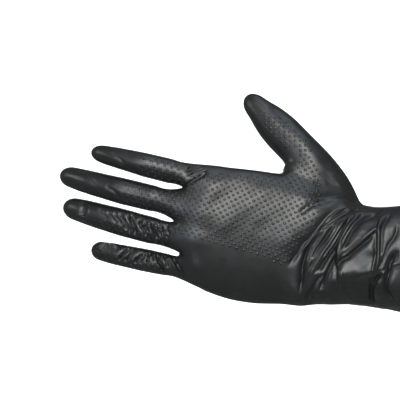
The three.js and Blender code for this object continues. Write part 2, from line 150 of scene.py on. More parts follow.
# side, stage, share, length, width, height
MOUNDS = [
    (-1, 3.45, 0.5, 0.75, 0.42, 10.0),
    (-1, 3.35, -0.6, 0.8, 0.35, 5.0),
    (1, 4.72, 0.68, 0.16, 0.16, 1.8),
    (1, 4.76, 0.23, 0.16, 0.16, 1.8),
    (1, 4.74, -0.23, 0.16, 0.16, 1.8),
    (1, 4.66, -0.68, 0.16, 0.16, 1.8),
]
FACE_SPANS = 4  # spans of the cage across a finger
RING_SPANS = 10 * FACE_SPANS
HALF_FACE = FACE_SPANS // 2
FINGER_RINGS = [0.04, 0.08] + [0.12 + 0.75 * i / 17 for i in range(18)]
THUMB_RINGS = [0.07, 0.15, 0.23, 0.32, 0.41, 0.5, 0.57, 0.64, 0.71, 0.78, 0.84, 0.9]
TIP_ANGLES = (22, 44, 66)
THUMB_COLUMNS = (-3, -2, -1, 0, 1)
FINGER_GROWTH, THUMB_GROWTH = 0.15, 0.42  # shares of the length, until a digit has its own section
FACE_SHARE = 0.92
SECTION_ROUND = 2.25
BEND_START, BEND_END = 0.25, 0.85  # shares of cuff and gathers

# ---------------------------------------------------------------- folds, their lines as (x, z) in millimetres

# name, depth (a ridge below zero), half-width, line
WRIST_FOLDS = [
    ("crest line", 0.8, 0.9, [
        (-70, 41.3), (-64.1, 42), (-57.6, 42.6), (-51.1, 43), (-45.9, 42.6), (-41.9, 41), (-38.7, 38.6),
    ]),
    ("under crest", 0.9, 1.0, [
        (-78.9, 29.3), (-75, 32.3), (-71.1, 35.6), (-66.5, 37.6), (-62, 39), (-57.5, 39.8), (-53.6, 40.1),
    ]),
    ("under crest, short", 0.35, 0.7, [(-66.5, 35), (-62.5, 36.3), (-57.4, 37.3)]),
    ("long shallow", 1.0, 2.0, [
        (-85.4, -5.6), (-81.4, -0.3), (-78.7, 3.7), (-76.1, 7.7), (-74.1, 11.1), (-70.8, 13.7), (-67.5, 17.7),
        (-64.2, 21.7), (-61.6, 25.7), (-58.4, 29), (-55.2, 31.7), (-51.3, 34.3), (-48.2, 36.3),
    ]),
    ("long ridge", -0.5, 1.2, [
        (-79.4, 3.1), (-75.5, 6.4), (-72.2, 9.7), (-68.1, 15.7), (-63.5, 21), (-59, 26.7), (-54.5, 30.7),
        (-48.7, 34.3), (-43.6, 36.6),
    ]),
    ("first gather", 1.9, 1.5, [
        (-77.6, -23.3), (-76.3, -17), (-75.2, -11), (-74.8, -5.6), (-74.1, -1.6), (-72.8, 3.7), (-70.1, 9.1),
        (-68.1, 11.7), (-65.5, 15.4), (-62.9, 19.4),
    ]),
    ("first gather, upper", 1.2, 1.1, [
        (-62.9, 19.7), (-60.3, 23.7), (-57, 26.7), (-53.1, 29.7), (-49.3, 32.3), (-45.5, 34.3),
    ]),
    ("first gather, branch", 0.7, 0.9, [
        (-63.6, 18.4), (-59.6, 21.4), (-55.1, 24.3), (-50.5, 27), (-46.6, 29.7), (-43.3, 31.6), (-40.2, 34.3),
        (-35.1, 35.6),
    ]),
    ("second gather", 1.1, 1.0, [
        (-70.9, -1.6), (-68.2, 2.4), (-66.2, 5.7), (-63.5, 9.8), (-60.2, 13.8), (-57.6, 17.7), (-55, 21),
        (-52.4, 24),
    ]),
    ("third gather", 2.0, 1.4, [
        (-40.1, 33), (-42.6, 28.3), (-45.2, 25), (-47.8, 21), (-49.7, 17.7), (-51.6, 13.8), (-53.6, 9.8),
        (-56.2, 5.8), (-58.2, 2.5), (-60.9, -1.5), (-62.9, -4.9), (-65.6, -7.6), (-67.5, -9.6),
    ]),
    ("broad gather", 1.5, 1.8, [
        (-21.6, 33), (-26.9, 31.7), (-30.9, 30.3), (-34.6, 28), (-37.9, 25), (-39.8, 22.4), (-41.7, 19.8),
        (-43.7, 15.8), (-45.6, 11.8), (-47.6, 8.2), (-49.6, 6.5),
    ]),
    ("broad gather, branch", 0.5, 0.7, [
        (-34.9, 32.6), (-36.7, 30.3), (-38, 28.3), (-41.2, 24.4), (-43.7, 20.4), (-46.3, 16.4), (-48.3, 12.5),
        (-50, 8.5),
    ]),
    ("heel gather", 1.4, 1.3, [
        (-52.3, 4.5), (-53.6, 1.2), (-55.5, -2.8), (-57.5, -6.8), (-59.6, -11.5), (-62.3, -16.3),
        (-64.1, -19.7),
    ]),
    ("heel gather, low", 1.0, 1.1, [
        (-60.2, -9.5), (-63.6, -11.6), (-66.3, -14.9), (-69, -19), (-72.6, -23.2), (-75.5, -26.8),
    ]),
    ("heel gather, edge", 0.5, 0.8, [(-67.8, -21.8), (-71.6, -28.2)]),
    ("facet crest", -0.8, 2.0, [
        (-50.3, 0.5), (-46.9, 3.2), (-42.3, 6.6), (-37, 11.2), (-31.7, 15.9), (-27.2, 20.1), (-24, 21.8),
        (-19.4, 25.8),
    ]),
    ("facet shade", 1.4, 1.3, [
        (-52.3, -11.5), (-52.2, -6.8), (-50.9, -2.8), (-48.9, -0.1), (-44.9, 1.9), (-41, 5.6), (-36.3, 9.3),
        (-31.7, 13.3), (-28.5, 16.5), (-25.9, 19.1),
    ]),
    ("facet upper shade", 0.5, 0.8, [(-49.6, 2.5), (-46.2, 4.6), (-43, 7.5), (-39, 11.2), (-35.1, 14.5)]),
    ("cuff fold", 1.0, 1.2, [
        (-25, 20.4), (-25.6, 16.5), (-25.9, 11.9), (-25.8, 6.7), (-26.4, 1.4), (-27.1, -3.9), (-27.8, -10.5),
    ]),
    ("cuff fold, second", 0.9, 1.2, [
        (-16.9, 31), (-18.1, 29.1), (-20.7, 24.5), (-22.3, 19.9), (-22.8, 14.6), (-22.8, 9.4), (-23.1, 4.8),
        (-23.7, 0.2),
    ]),
    ("cuff fold, third", 0.6, 1.0, [
        (-12.8, 25.1), (-12.8, 19.9), (-14.7, 14.7), (-17.9, 10.1), (-19.8, 5.5), (-21.1, 1.5), (-23.1, -3.1),
        (-25.7, -7.7), (-27.8, -11.8),
    ]),
    ("cuff turn", 1.8, 1.7, [
        (-10.7, 6.2), (-13.3, 4.2), (-16, 0.2), (-17.3, -3.7), (-17.9, -8.3), (-19.2, -13), (-19.9, -17),
        (-18.7, -20.4), (-16.1, -23.8), (-12.2, -26.5),
    ]),
    ("cuff pocket", 2.4, 2.0, [
        (-21.2, -7.7), (-24.4, -10.3), (-27.1, -13.8), (-29.2, -18.6), (-30, -24.1), (-29.5, -29),
        (-27.1, -32.4),
    ]),
    ("cuff crest, low", -0.6, 1.2, [(-23.1, -9.7), (-17.3, -5), (-14, -1.1)]),
    ("cuff crest", -0.5, 1.2, [(-24, 20.5), (-24.5, 13.3), (-24.4, 5.4), (-25.1, -1.1), (-26.4, -6.5)]),
    ("facet crease", -0.4, 0.8, [(-48.9, -5.4), (-48.4, -13.5), (-47.7, -16.8), (-44.4, -20.1)]),
    ("facet crease, low", -0.4, 0.8, [(-49.7, -16.2), (-46.5, -21.5), (-42.8, -27.8)]),
    ("thumb side wrinkle 1", 0.45, 1.0, [(-63.6, 64.7), (-58.4, 65.4), (-53.3, 64.1)]),
    ("thumb side wrinkle 2", 0.45, 1.0, [(-61.5, 61.3), (-54.9, 60.6), (-49.7, 58.6)]),
    ("thumb side wrinkle 3", 0.45, 1.0, [(-63.4, 56.5), (-56.8, 57.2), (-48.2, 54.5)]),
    ("thumb side wrinkle 4", 0.45, 1.0, [(-62, 53.1), (-54, 53.5), (-46.1, 51.1)]),
    ("thumb side wrinkle 5", 0.45, 1.0, [(-59.3, 50.4), (-51.3, 49.8)]),
    ("fine gather", 0.5, 0.6, [
        (-59, 21), (-62.2, 17.1), (-64.9, 13.1), (-68.2, 7.7), (-70.8, 2.4), (-72.2, -2.9),
    ]),
    ("fine gather, second", 0.45, 0.6, [
        (-53.1, 25), (-56.3, 21), (-59.6, 17), (-62.5, 12.4), (-65.5, 7.8), (-68.1, 3.8),
    ]),
    ("fine gather, third", 0.7, 0.7, [
        (-44, 30.3), (-47.9, 27), (-51.7, 21), (-56.5, 13.1), (-60.2, 7.8), (-64.2, 2.4), (-68.2, -2.9),
        (-70.8, -6.9),
    ]),
    ("fine gather, fourth", 0.6, 0.7, [
        (-42, 31), (-45.9, 26.3), (-49.7, 20.4), (-53, 15.1), (-56.2, 9.8), (-59.5, 5.1), (-62.8, -0.2),
    ]),
    ("gather ridge", -0.5, 0.6, [(-64.2, 15.7), (-68.8, 9.1), (-71.5, 2.4), (-72.8, -2.9)]),
    ("gather ridge, second", -0.5, 0.6, [
        (-58.3, 20.4), (-62.2, 13.7), (-66.8, 5.8), (-70.8, -2.9), (-71.5, -8.9),
    ]),
    ("gather ridge, third", -0.5, 0.6, [(-51.1, 25.7), (-55.6, 17.7), (-59.5, 10.4), (-64.2, 2.4)]),
    ("gather ridge, fourth", -0.6, 0.7, [
        (-44.6, 29), (-49.1, 20.4), (-52.9, 12.5), (-57.5, 5.8), (-62.2, -2.2), (-66.9, -10.9),
    ]),
]
FINGER_FOLDS = [
    ("ring crease 1", 0.98, 0.7, [(-199.2, 30.9), (-195.4, 26.1), (-192.5, 21.4), (-191.5, 16.7)]),
    ("ring crease 2", 0.84, 0.7, [(-203.5, 31.5), (-199.6, 27.5), (-196, 22.8), (-193.4, 18.7)]),
    ("ring crease 3", 0.63, 0.7, [(-207.8, 32.2), (-203.9, 28.1), (-199.5, 23.4)]),
    ("ring crease 4", 0.42, 0.8, [(-213.7, 34.2), (-210.4, 30.2), (-205.2, 26.1)]),
    ("ring joint", 1.4, 1.5, [(-191.1, 30.2), (-189.8, 24.8), (-188.4, 19.4), (-188.1, 15.3)]),
    ("ring crease 5", 1.12, 0.9, [(-185.3, 26.8), (-183.6, 22.1), (-180.8, 17.4), (-179.7, 14)]),
    ("ring crease 6", 0.7, 0.6, [(-181.1, 25.5), (-180.1, 20.8), (-178.1, 16.8)]),
    ("ring crease 7", 1.12, 0.8, [(-176.3, 24.8), (-175.3, 20.2), (-173.2, 15.5), (-172.7, 12.7)]),
    ("ring crease 8", 0.56, 0.6, [(-172.2, 23.5), (-171.1, 18.8), (-169.8, 14.8)]),
    ("ring crease 9", 0.7, 0.7, [(-168.7, 22.8), (-167.7, 18.2), (-166.3, 13.5)]),
    ("ring cross ridge", -0.42, 0.8, [(-183.6, 23.5), (-178.1, 22.2), (-172.6, 20.2), (-167, 18.2)]),
    ("ring knuckle", 0.84, 1.5, [
        (-165.7, 24.8), (-166.5, 20.8), (-164.6, 16.8), (-166.4, 12.1), (-166.8, 7.2),
    ]),
    ("ring tip dent", 1.26, 1.6, [(-225.8, 39.6), (-224.5, 34.2), (-225.9, 28.1)]),
    ("middle tip crease", 0.35, 0.9, [
        (-235.3, 59.5), (-228.2, 60.2), (-221.7, 57.4), (-217.5, 52.6), (-213.8, 48.5),
    ]),
    ("middle tip fold", 0.35, 0.9, [(-238, 54.7), (-233.4, 51.3), (-227.3, 48.5), (-221.7, 45.1)]),
    ("middle crease", 0.35, 0.8, [(-208.7, 49.1), (-202.2, 45.7), (-198.9, 41.7), (-196.3, 39.6)]),
    ("index crease", 0.3, 0.9, [(-208.5, 72.9), (-202.5, 70.1), (-197.5, 66.7), (-194.7, 63.3)]),
    ("index crease, second", 0.35, 0.8, [(-197.8, 62.6), (-191.3, 61.2), (-185.4, 57.9)]),
    ("little ridge", -0.84, 0.8, [(-216.4, 5.5), (-212.2, 8.6), (-206.6, 9), (-200.6, 7.7)]),
    ("little V, left", 1.12, 0.8, [(-199.7, -2.4), (-198, 1.7), (-195.4, 5.1), (-191.8, 7.8)]),
    ("little V, right", 0.98, 0.7, [(-196, -2.3), (-193, 1.1), (-191.1, 4.5), (-189.6, 7.1)]),
    ("little ray 1", 1.12, 0.8, [(-188.8, -2.9), (-185.9, 0.5), (-182.8, 3.9)]),
    ("little ray 2", 0.84, 0.6, [(-184.6, -3.5), (-182.5, 0.5), (-180.8, 3.9)]),
    ("little ray 3", 0.84, 0.6, [(-179.8, -3.5), (-179.1, 0.6), (-178.3, 4.5)]),
    ("little ray 4", 0.56, 0.6, [(-175.6, -2.1), (-175.9, 1.9), (-177.6, 5.7)]),
    ("little bend", 1.26, 0.9, [(-173.8, 4.5), (-172.3, -0.1), (-170.2, -4.8), (-168.2, -11)]),
    ("little bend, second", 0.7, 0.7, [(-168.9, 3.2), (-166.8, -1.4), (-165.4, -6.1)]),
    ("little base", 1.26, 1.0, [(-163.3, 1.9), (-159.9, -2.7), (-157.2, -8), (-155, -13.5)]),
    ("little base ridge", -0.7, 0.8, [(-165.9, 1.9), (-162.7, -2), (-160, -7.4), (-158.3, -12.2)]),
    ("index base 1", 0.4, 0.5, [(-152.6, 59.8), (-150.9, 61.9), (-147.9, 63.2), (-144.7, 63.6)]),
    ("index base 2", 0.4, 0.5, [(-152.5, 57.1), (-150, 59.8), (-146.9, 61.5), (-142.5, 62.6)]),
    ("index base 3", 0.4, 0.5, [(-151.7, 55.1), (-148.6, 57.8), (-145.4, 59.8), (-141, 61.2)]),
    ("index base 4", 0.4, 0.5, [(-150.4, 54.4), (-147.2, 56.4), (-143.3, 58.5), (-138.9, 60.5)]),
    ("index base 5", 0.4, 0.5, [(-151.7, 51.1), (-147.7, 53.7), (-143.8, 56.1), (-139.4, 58.5)]),
    ("index base 6", 0.6, 0.7, [
        (-158.5, 47.7), (-154.6, 48.7), (-150.3, 51), (-146.4, 53.7), (-141.8, 56.4), (-139.3, 58.1),
    ]),
]
# name, rise, half-width, line
BROAD_FORMS = [
    ("wrist edge", 3.3, 9.5, [
        (-77.3, -23.3), (-65, -19), (-53, -14.9), (-42.3, -12.6), (-34.4, -12.6), (-26.4, -13.7),
        (-18.7, -18.4), (-11.5, -22.4),
    ]),
    ("thumb tendon", 0.5, 6.0, [(-73.3, 42.3), (-70.5, 51.8), (-69.5, 62), (-71.2, 72.2), (-75.7, 82)]),
    ("wrist side hollow", -3.4, 11.5, [(-35.7, 43.8), (-38.5, 50.6)]),
    ("thumb tip hollow", -1.2, 4.0, [(-96.1, 101.9), (-89.4, 95.4)]),
    ("hand bone, long", 0.5, 5.5, [
        (-128.4, 22.3), (-121.8, 28.3), (-115.3, 33.6), (-106.2, 40.3), (-95.8, 47.7), (-85.8, 54.5),
    ]),
    ("hand hollow", -0.3, 4.5, [(-132.5, 37), (-124.7, 41.7), (-115.6, 46.3), (-106.6, 52.4)]),
    ("hand bone, upper", 0.4, 5.0, [(-139.9, 41), (-134, 46.3), (-126.3, 51.7), (-117.4, 55.8)]),
    ("hand hollow, right", -0.3, 5.0, [
        (-101.9, 21), (-94, 27.6), (-86.2, 33.6), (-78.4, 38.3), (-70.6, 41.7),
    ]),
    ("heel swell", 0.7, 6.0, [(-86, 13), (-79.4, 21), (-72.9, 27.7), (-66.4, 33)]),
]
# name, step at the line, reach towards the cuff, line
PLEATS = [
    ("facet pleat", 3.4, 17.0, [
        (-40.2, 33.6), (-43.9, 27), (-47.7, 19.7), (-50.3, 13.1), (-52.2, 6.5), (-52.5, -0.1), (-51.6, -6.8),
        (-50.4, -13.5), (-47.8, -20.2),
    ]),
    ("cuff pleat", 2.8, 12.0, [
        (-20.5, 35), (-23.5, 29), (-25.3, 21.1), (-25.9, 11.9), (-25.8, 3.4), (-27.1, -3.9), (-27.8, -11.1),
        (-29.2, -19.9), (-28.8, -28.9),
    ]),
    ("gather pleat", 1.7, 8.0, [
        (-47.5, 35.6), (-53.8, 31), (-60.3, 24.4), (-65.6, 15.7), (-70.1, 7.7), (-73.5, -0.3), (-75.6, -9.7),
        (-77.1, -20.5),
    ]),
    ("gather pleat, second", 1.3, 7.0, [
        (-39.5, 34.3), (-45.3, 29), (-51.7, 21.7), (-57.5, 13.1), (-62.8, 5.1), (-67.5, -2.9), (-70.9, -11),
        (-74.5, -21.8),
    ]),
]
# name, depth, half-width, line
PALM_FOLDS = [
    ("cuff drape", 1.2, 1.8, [(-10, 26), (-16, 12), (-19, -4), (-17, -20)]),
    ("cuff drape, second", 1.0, 1.6, [(-30, 32), (-27, 18), (-28, 2), (-33, -14)]),
    ("wrist crease", 1.3, 1.4, [(-44, 38), (-46, 22), (-45, 6), (-48, -10), (-52, -22)]),
    ("wrist crease, second", 1.1, 1.2, [(-51, 40), (-54, 24), (-53, 8), (-56, -8), (-60, -18)]),
    ("wrist crease, third", 0.8, 1.0, [(-58, 36), (-61, 22), (-61, 8), (-64, -6)]),
    ("wrist crease, short", 0.6, 0.9, [(-49, 26), (-50, 12), (-51, 0)]),
    ("thumb ball crease", 1.0, 2.2, [(-68, 8), (-82, 14), (-98, 22), (-112, 34), (-120, 48)]),
    ("thumb ball crease, inner", 0.5, 1.4, [(-74, 14), (-88, 20), (-100, 29), (-108, 40)]),
    ("palm crease", 0.7, 1.8, [(-118, 50), (-124, 36), (-122, 18), (-116, 2), (-110, -10)]),
    ("palm crease, upper", 0.7, 1.8, [(-144, 46), (-140, 30), (-138, 12), (-134, -4), (-126, -16)]),
    ("index base crease", 0.5, 1.0, [(-152, 58), (-156, 50), (-157, 43)]),
    ("middle base crease", 0.5, 1.0, [(-160, 40), (-163, 33), (-163, 26)]),
    ("ring base crease", 0.5, 1.0, [(-161, 22), (-163, 15), (-162, 9)]),
    ("little base crease", 0.5, 1.0, [(-155, 4), (-156, -2), (-154, -9)]),
]


# ---------------------------------------------------------------- form of the film


def smoothstep(x, low, high):
    t = np.clip((x - low) / (high - low), 0, 1)
    return t * t * (3 - 2 * t)


def lerp(a, b, t):
    return a + (b - a) * t


def table_reader(rows):
    """Reads a table between its rows on a smooth curve through each column."""
    at = [row[0] for row in rows]
    values = np.array([row[1:] for row in rows], float)

    def read(x):
        if x <= at[0]:
            return values[0]
        if x >= at[-1]:
            return values[-1]
        i = max(n for n in range(len(at)) if at[n] <= x)
        t0, t1 = at[i], at[i + 1]
        before, t_before = (i - 1, at[i - 1]) if i > 0 else (i + 1, t1)
        after, t_after = (i + 2, at[i + 2]) if i + 2 < len(at) else (i, t0)
        half = (t1 - t0) / 2
        wp, wn = half / (t0 - t_before), half / (t_after - t1)
        p = (x - t0) / (t1 - t0)
        p2, p3 = p * p, p * p * p
        return (
            (-wp * p3 + 2 * wp * p2 - wp * p) * values[before]
            + ((1 + wp) * p3 + (-1.5 - 2 * wp) * p2 + (-0.5 + wp) * p + 1) * values[i]
            + ((-1 - wn) * p3 + (1.5 + wn) * p2 + 0.5 * p) * values[i + 1]
            + (wn * p3 - wn * p2) * values[after]
        )

    return read


def directions(back, side, flex=0.0):
    """Along the hand, to the thumb's side and out of the back, for a hand bent by these angles."""
    b, s, f = (math.radians(a) for a in (back, side, flex))
    along = np.array([-math.cos(b) * math.cos(s), -math.sin(b) * math.cos(s), math.sin(s)])
    radial = np.array([math.cos(b) * math.sin(s), math.sin(b) * math.sin(s), math.cos(s)])
    out = np.array([math.sin(b), -math.cos(b), 0.0])
    return along * math.cos(f) - out * math.sin(f), radial, out * math.cos(f) + along * math.sin(f)


def centreline(start, length, angles_at):
    """Follows a bending line from a point, and gives the place and directions at a distance along it."""
    steps = math.ceil(length)
    step = length / steps
    path = [np.array(start, float)]
    for i in range(steps):
        path.append(path[-1] + directions(*angles_at((i + 0.5) * step))[0] * step)

    def at(distance):
        place = min(max(distance / step, 0), steps - 1e-6)
        i = int(place)
        return lerp(path[i], path[i + 1], place - i), directions(*angles_at(distance))

    return at


def line_place(line):
    return line[0] * CUFF_LENGTH + line[1] * GATHER_LENGTH + line[2] * PALM_LENGTH


BODY_LENGTH = line_place(LINES[-1])
WRIST_LENGTH = CUFF_LENGTH + GATHER_LENGTH
section_at = table_reader(SECTIONS)


def body_angles(at):
    bend = smoothstep(at, BEND_START * WRIST_LENGTH, BEND_END * WRIST_LENGTH)
    return WRIST_BACK * bend, WRIST_SIDE * bend


def line_distance(stage, share):
    """Distance from the mouth of the ring line at a stage, where it crosses a share of the width."""
    i = min(int(stage), len(LINES) - 2)
    a, b = LINES[i], LINES[i + 1]
    part = stage - i
    middle = lerp(line_place(a), line_place(b), part)
    radial = middle + lerp(a[3], b[3], part) * PALM_WIDTH
    ulnar = middle + lerp(a[4], b[4], part) * PALM_WIDTH
    return middle + share * (radial - ulnar) / 2 + share**2 * ((radial + ulnar) / 2 - middle)


def stage_of(at):
    i = next((n for n in range(len(LINES) - 1) if at < line_place(LINES[n + 1])), len(LINES) - 2)
    low, high = line_place(LINES[i]), line_place(LINES[i + 1])
    return min(i + (at - low) / (high - low), len(LINES) - 1)


def body_point(body_at, stage, share, side):
    at = line_distance(stage, share)
    place = stage_of(at)
    radial_reach, ulnar_reach, back_reach, palm_reach = section_at(place)
    point, (_, radial, back) = body_at(at)
    rise = (1 - abs(share) ** SECTION_ROUND) ** (1 / SECTION_ROUND)
    out = rise * (back_reach if side > 0 else palm_reach)
    for m_side, m_stage, m_share, length, width, height in MOUNDS:
        if m_side == side:
            reach = ((place - m_stage) / length) ** 2 + ((share - m_share) / width) ** 2
            out += rise * height * math.exp(-reach)
    return point + radial * share * (radial_reach if share > 0 else ulnar_reach) + back * side * out


class Cage:
    """Four-sided cage of the film, and at which stage of the body each point lies."""

    def __init__(self):
        self.points = []
        self.faces = []
        self.stage = []

    def add(self, point, stage=LAST_STAGE):
        self.points.append(np.array(point, float))
        self.stage.append(stage)
        return len(self.points) - 1

    def join(self, a, b):
        for m in range(len(a)):
            n = (m + 1) % len(a)
            self.faces.append((a[m], b[m], b[n], a[n]))

    def ease(self, listed, passes):
        """Moves each listed point towards its neighbours."""
        near = {p: set() for p in listed}
        for face in self.faces:
            for m, p in enumerate(face):
                q = face[(m + 1) % len(face)]
                if p in near:
                    near[p].add(q)
                if q in near:
                    near[q].add(p)
        for _ in range(passes):
            moved = {p: sum(self.points[q] for q in near[p]) / len(near[p]) for p in near}
            for p in near:
                self.points[p] = (self.points[p] + moved[p]) / 2


def ring_place(k):
    """Place of a ring's point across the body: its share of the width, and back (1) or palm (-1)."""
    turned = k % RING_SPANS
    mirrored = RING_SPANS - turned if turned > RING_SPANS // 2 else turned
    side = -1 if turned > RING_SPANS // 2 else 1
    if mirrored < HALF_FACE:
        return 1 - (1 - FACE_SHARE) * (mirrored / HALF_FACE) ** 2, side
    from_ulnar = RING_SPANS // 2 - mirrored
    if from_ulnar < HALF_FACE:
        return -(1 - (1 - FACE_SHARE) * (from_ulnar / HALF_FACE) ** 2), side
    corners = [FACE_SHARE] + [finger["web"] for finger in FINGERS[:-1]] + [-FACE_SHARE]
    place = (mirrored - HALF_FACE) / FACE_SPANS
    face = min(int(place), len(FINGERS) - 1)
    return lerp(corners[face], corners[face + 1], place - face), side


def add_digit(cage, loop, size, sections, shares, angles_at, growth):
    """A finger or thumb: rings along its centreline that grow from the loop where it leaves the body."""
    length, tip = size["length"], size["width"] / 2
    start = sum(cage.points[p] for p in loop) / len(loop)
    path_at = centreline(start, length, angles_at)
    shape_at = table_reader(sections)

    def ring(at, shrink):
        point, (_, radial, back) = path_at(at)
        width, depth = shape_at(min(at, length - tip) / length)
        grown = smoothstep(at / length, 0, growth)
        width *= size["width"] / 2 * lerp(1, size["taper"], at / length) * shrink
        depth *= size["depth"] / 2 * shrink
        made = []
        for m, p in enumerate(loop):
            angle = 2 * math.pi * m / len(loop)
            around = point + radial * width * math.cos(angle) + back * depth * math.sin(angle)
            made.append(cage.add(lerp(cage.points[p] - start + point, around, grown)))
        return made

    rings = [ring(share * (length - tip), 1) for share in shares] + [ring(length - tip, 1)]
    for angle in TIP_ANGLES:
        a = math.radians(angle)
        rings.append(ring(length - tip + tip * math.sin(a), math.cos(a)))
    for a, b in zip([loop] + rings[:-1], rings):
        cage.join(a, b)
    pole = cage.add(path_at(length)[0])
    last = rings[-1]
    for m in range(len(last)):
        cage.faces.append((last[m], pole, last[(m + 1) % len(last)]))
    return rings


def finger_loops(web_ring, webs):
    """The loop of each finger where it leaves the body, from the middle of its side next to the thumb."""
    side_points = range(FACE_SPANS - 1)
    ulnar_edge = [web_ring[(RING_SPANS // 2 - HALF_FACE + 1 + i) % RING_SPANS] for i in side_points]
    radial_edge = [web_ring[(1 - HALF_FACE + i) % RING_SPANS] for i in side_points]
    loops = []
    for n in range(len(FINGERS)):
        face = range(FACE_SPANS + 1)
        back = [web_ring[HALF_FACE + n * FACE_SPANS + i] for i in face]
        palm = [web_ring[RING_SPANS - HALF_FACE - (n + 1) * FACE_SPANS + i] for i in face]
        ulnar = ulnar_edge if n == len(FINGERS) - 1 else webs[n]
        radial = radial_edge if n == 0 else webs[n - 1][::-1]
        loop = back + ulnar + palm + radial
        loops.append(loop[1 - HALF_FACE:] + loop[: 1 - HALF_FACE])
    return loops


def film_cage(bead_reach):
    """The film's cage, in millimetres, from the mouth to the fingertips."""
    cage = Cage()
    body_at = centreline((-bead_reach, 0, 0), BODY_LENGTH, body_angles)
    stages = [i + n / line[5] for i, line in enumerate(LINES[:-1]) for n in range(line[5])]
    stages.append(LAST_STAGE)
    thumb_first = sum(line[5] for line in LINES[:3])
    thumb_last = thumb_first + LINES[3][5]
    columns = [c % RING_SPANS for c in THUMB_COLUMNS]
    rings = []
    for i, stage in enumerate(stages):
        ring = []
        for k in range(RING_SPANS):
            if thumb_first < i < thumb_last and k in columns[1:-1]:
                ring.append(None)
                continue
            share, side = ring_place(k)
            ring.append(cage.add(body_point(body_at, stage, share, side), stage))
        rings.append(ring)
    for i in range(len(rings) - 1):
        for k in range(RING_SPANS):
            if thumb_first <= i < thumb_last and k in columns[:-1]:
                continue
            n = (k + 1) % RING_SPANS
            cage.faces.append((rings[i][k], rings[i + 1][k], rings[i + 1][n], rings[i][n]))

    web_ring = rings[-1]
    along = body_at(BODY_LENGTH)[1][0]
    webs = []
    for n in (1, 2, 3):
        top = cage.points[web_ring[HALF_FACE + n * FACE_SPANS]]
        bottom = cage.points[web_ring[RING_SPANS - HALF_FACE - n * FACE_SPANS]]
        parts = [(i + 1) / FACE_SPANS for i in range(FACE_SPANS - 1)]
        saddle = [lerp(top, bottom, t) + along * WEB_ROUND * math.sin(math.pi * t) for t in parts]
        webs.append([cage.add(point) for point in saddle])

    digits = []
    for finger, loop in zip(FINGERS, finger_loops(web_ring, webs)):

        def angles(at, finger=finger):
            part = at / finger["length"]
            joints = zip(finger["bends"], FINGER_JOINTS)
            bent = sum(b * smoothstep(part, j, j + JOINT_REACH) for b, j in joints)
            return WRIST_BACK, WRIST_SIDE + lerp(*finger["spreads"], part), bent

        digits.append(add_digit(cage, loop, finger, FINGER_SECTIONS, FINGER_RINGS, angles, FINGER_GROWTH))

    inner_rows = [rings[thumb_first + 1 + i] for i in range(LINES[3][5] - 1)]
    loop = [rings[thumb_first][c] for c in columns[2:]]
    loop += [row[columns[-1]] for row in inner_rows]
    loop += [rings[thumb_last][c] for c in columns[::-1]]
    loop += [row[columns[0]] for row in inner_rows][::-1]
    loop += [rings[thumb_first][c] for c in columns[:2]]

    def thumb_angles(at):
        part = smoothstep(at / THUMB["length"], 0, 0.4)
        return WRIST_BACK, lerp(*THUMB_RISE, part), lerp(*THUMB_REACH, part)

    thumb = add_digit(cage, loop, THUMB, THUMB_SECTIONS, THUMB_RINGS, thumb_angles, THUMB_GROWTH)

    webbed = [p for web in webs for p in web] + list(web_ring)
    webbed += [p for digit in digits for ring in digit[:5] for p in ring]
    cage.ease(webbed, 4)
    beside = [c % RING_SPANS for c in (-6, -5, -4, -3, 1, 2, 3)]
    between = [c % RING_SPANS for c in (-2, -1, 0)]
    sides = [rings[i][c] for i in range(thumb_first - 1, thumb_last + 2) for c in beside]
    ends = [rings[i][c] for i in (thumb_first, thumb_last) for c in between]
    cage.ease(sides + ends + [p for ring in thumb[:6] for p in ring], 4)
    return cage


def split_folded_faces(mesh):
    """Splits the faces once more where the film has its finest folds on the back: wrist and fingers."""
    dense = bmesh.new()
    dense.from_mesh(mesh)
    stage = dense.verts.layers.float["stage"]
    chosen = []
    for face in dense.faces:
        places = [v[stage] for v in face.verts]
        x, _, z = face.calc_center_median()
        wrist = 0.1 < min(places) and max(places) < 3.3 and x > -88
        ring_and_little = -226 < x < -160 and z < 30
        index_base = -170 < x < -140 and z > 46
        on_back = face.normal.y < -0.1
        if on_back and (wrist or ring_and_little or index_base):
            chosen.append(face)
    edges = list({edge for face in chosen for edge in face.edges})
    bmesh.ops.subdivide_edges(dense, edges=edges, cuts=1, use_grid_fill=True)
    dense.to_mesh(mesh)
    dense.free()


def smooth_film(cage, levels, fine=False):
    """The cage as a smooth surface: points and outward directions in millimetres, faces and stages."""
    mesh = bpy.data.meshes.new("film cage")
    mesh.from_pydata([tuple(p) for p in cage.points], [], cage.faces)
    stage = mesh.attributes.new("stage", "FLOAT", "POINT")
    stage.data.foreach_set("value", np.array(cage.stage, np.float32))
    cage_object = bpy.data.objects.new("film cage", mesh)
    bpy.context.scene.collection.objects.link(cage_object)
    rounding = cage_object.modifiers.new("Smooth film", "SUBSURF")
    rounding.levels = rounding.render_levels = levels
    evaluated = cage_object.evaluated_get(bpy.context.evaluated_depsgraph_get())
    smooth = bpy.data.meshes.new_from_object(evaluated)
    if fine:
        split_folded_faces(smooth)
    count = len(smooth.vertices)
    points, outward, stages = np.empty(count * 3), np.empty(count * 3), np.empty(count)
    smooth.vertices.foreach_get("co", points)
    smooth.vertex_normals.foreach_get("vector", outward)
    smooth.attributes["stage"].data.foreach_get("value", stages)
    faces = [tuple(face.vertices) for face in smooth.polygons]
    bpy.data.objects.remove(cage_object)
    bpy.data.meshes.remove(mesh)
    bpy.data.meshes.remove(smooth)
    return points.reshape(-1, 3), outward.reshape(-1, 3), faces, stages


# ---------------------------------------------------------------- relief of the film


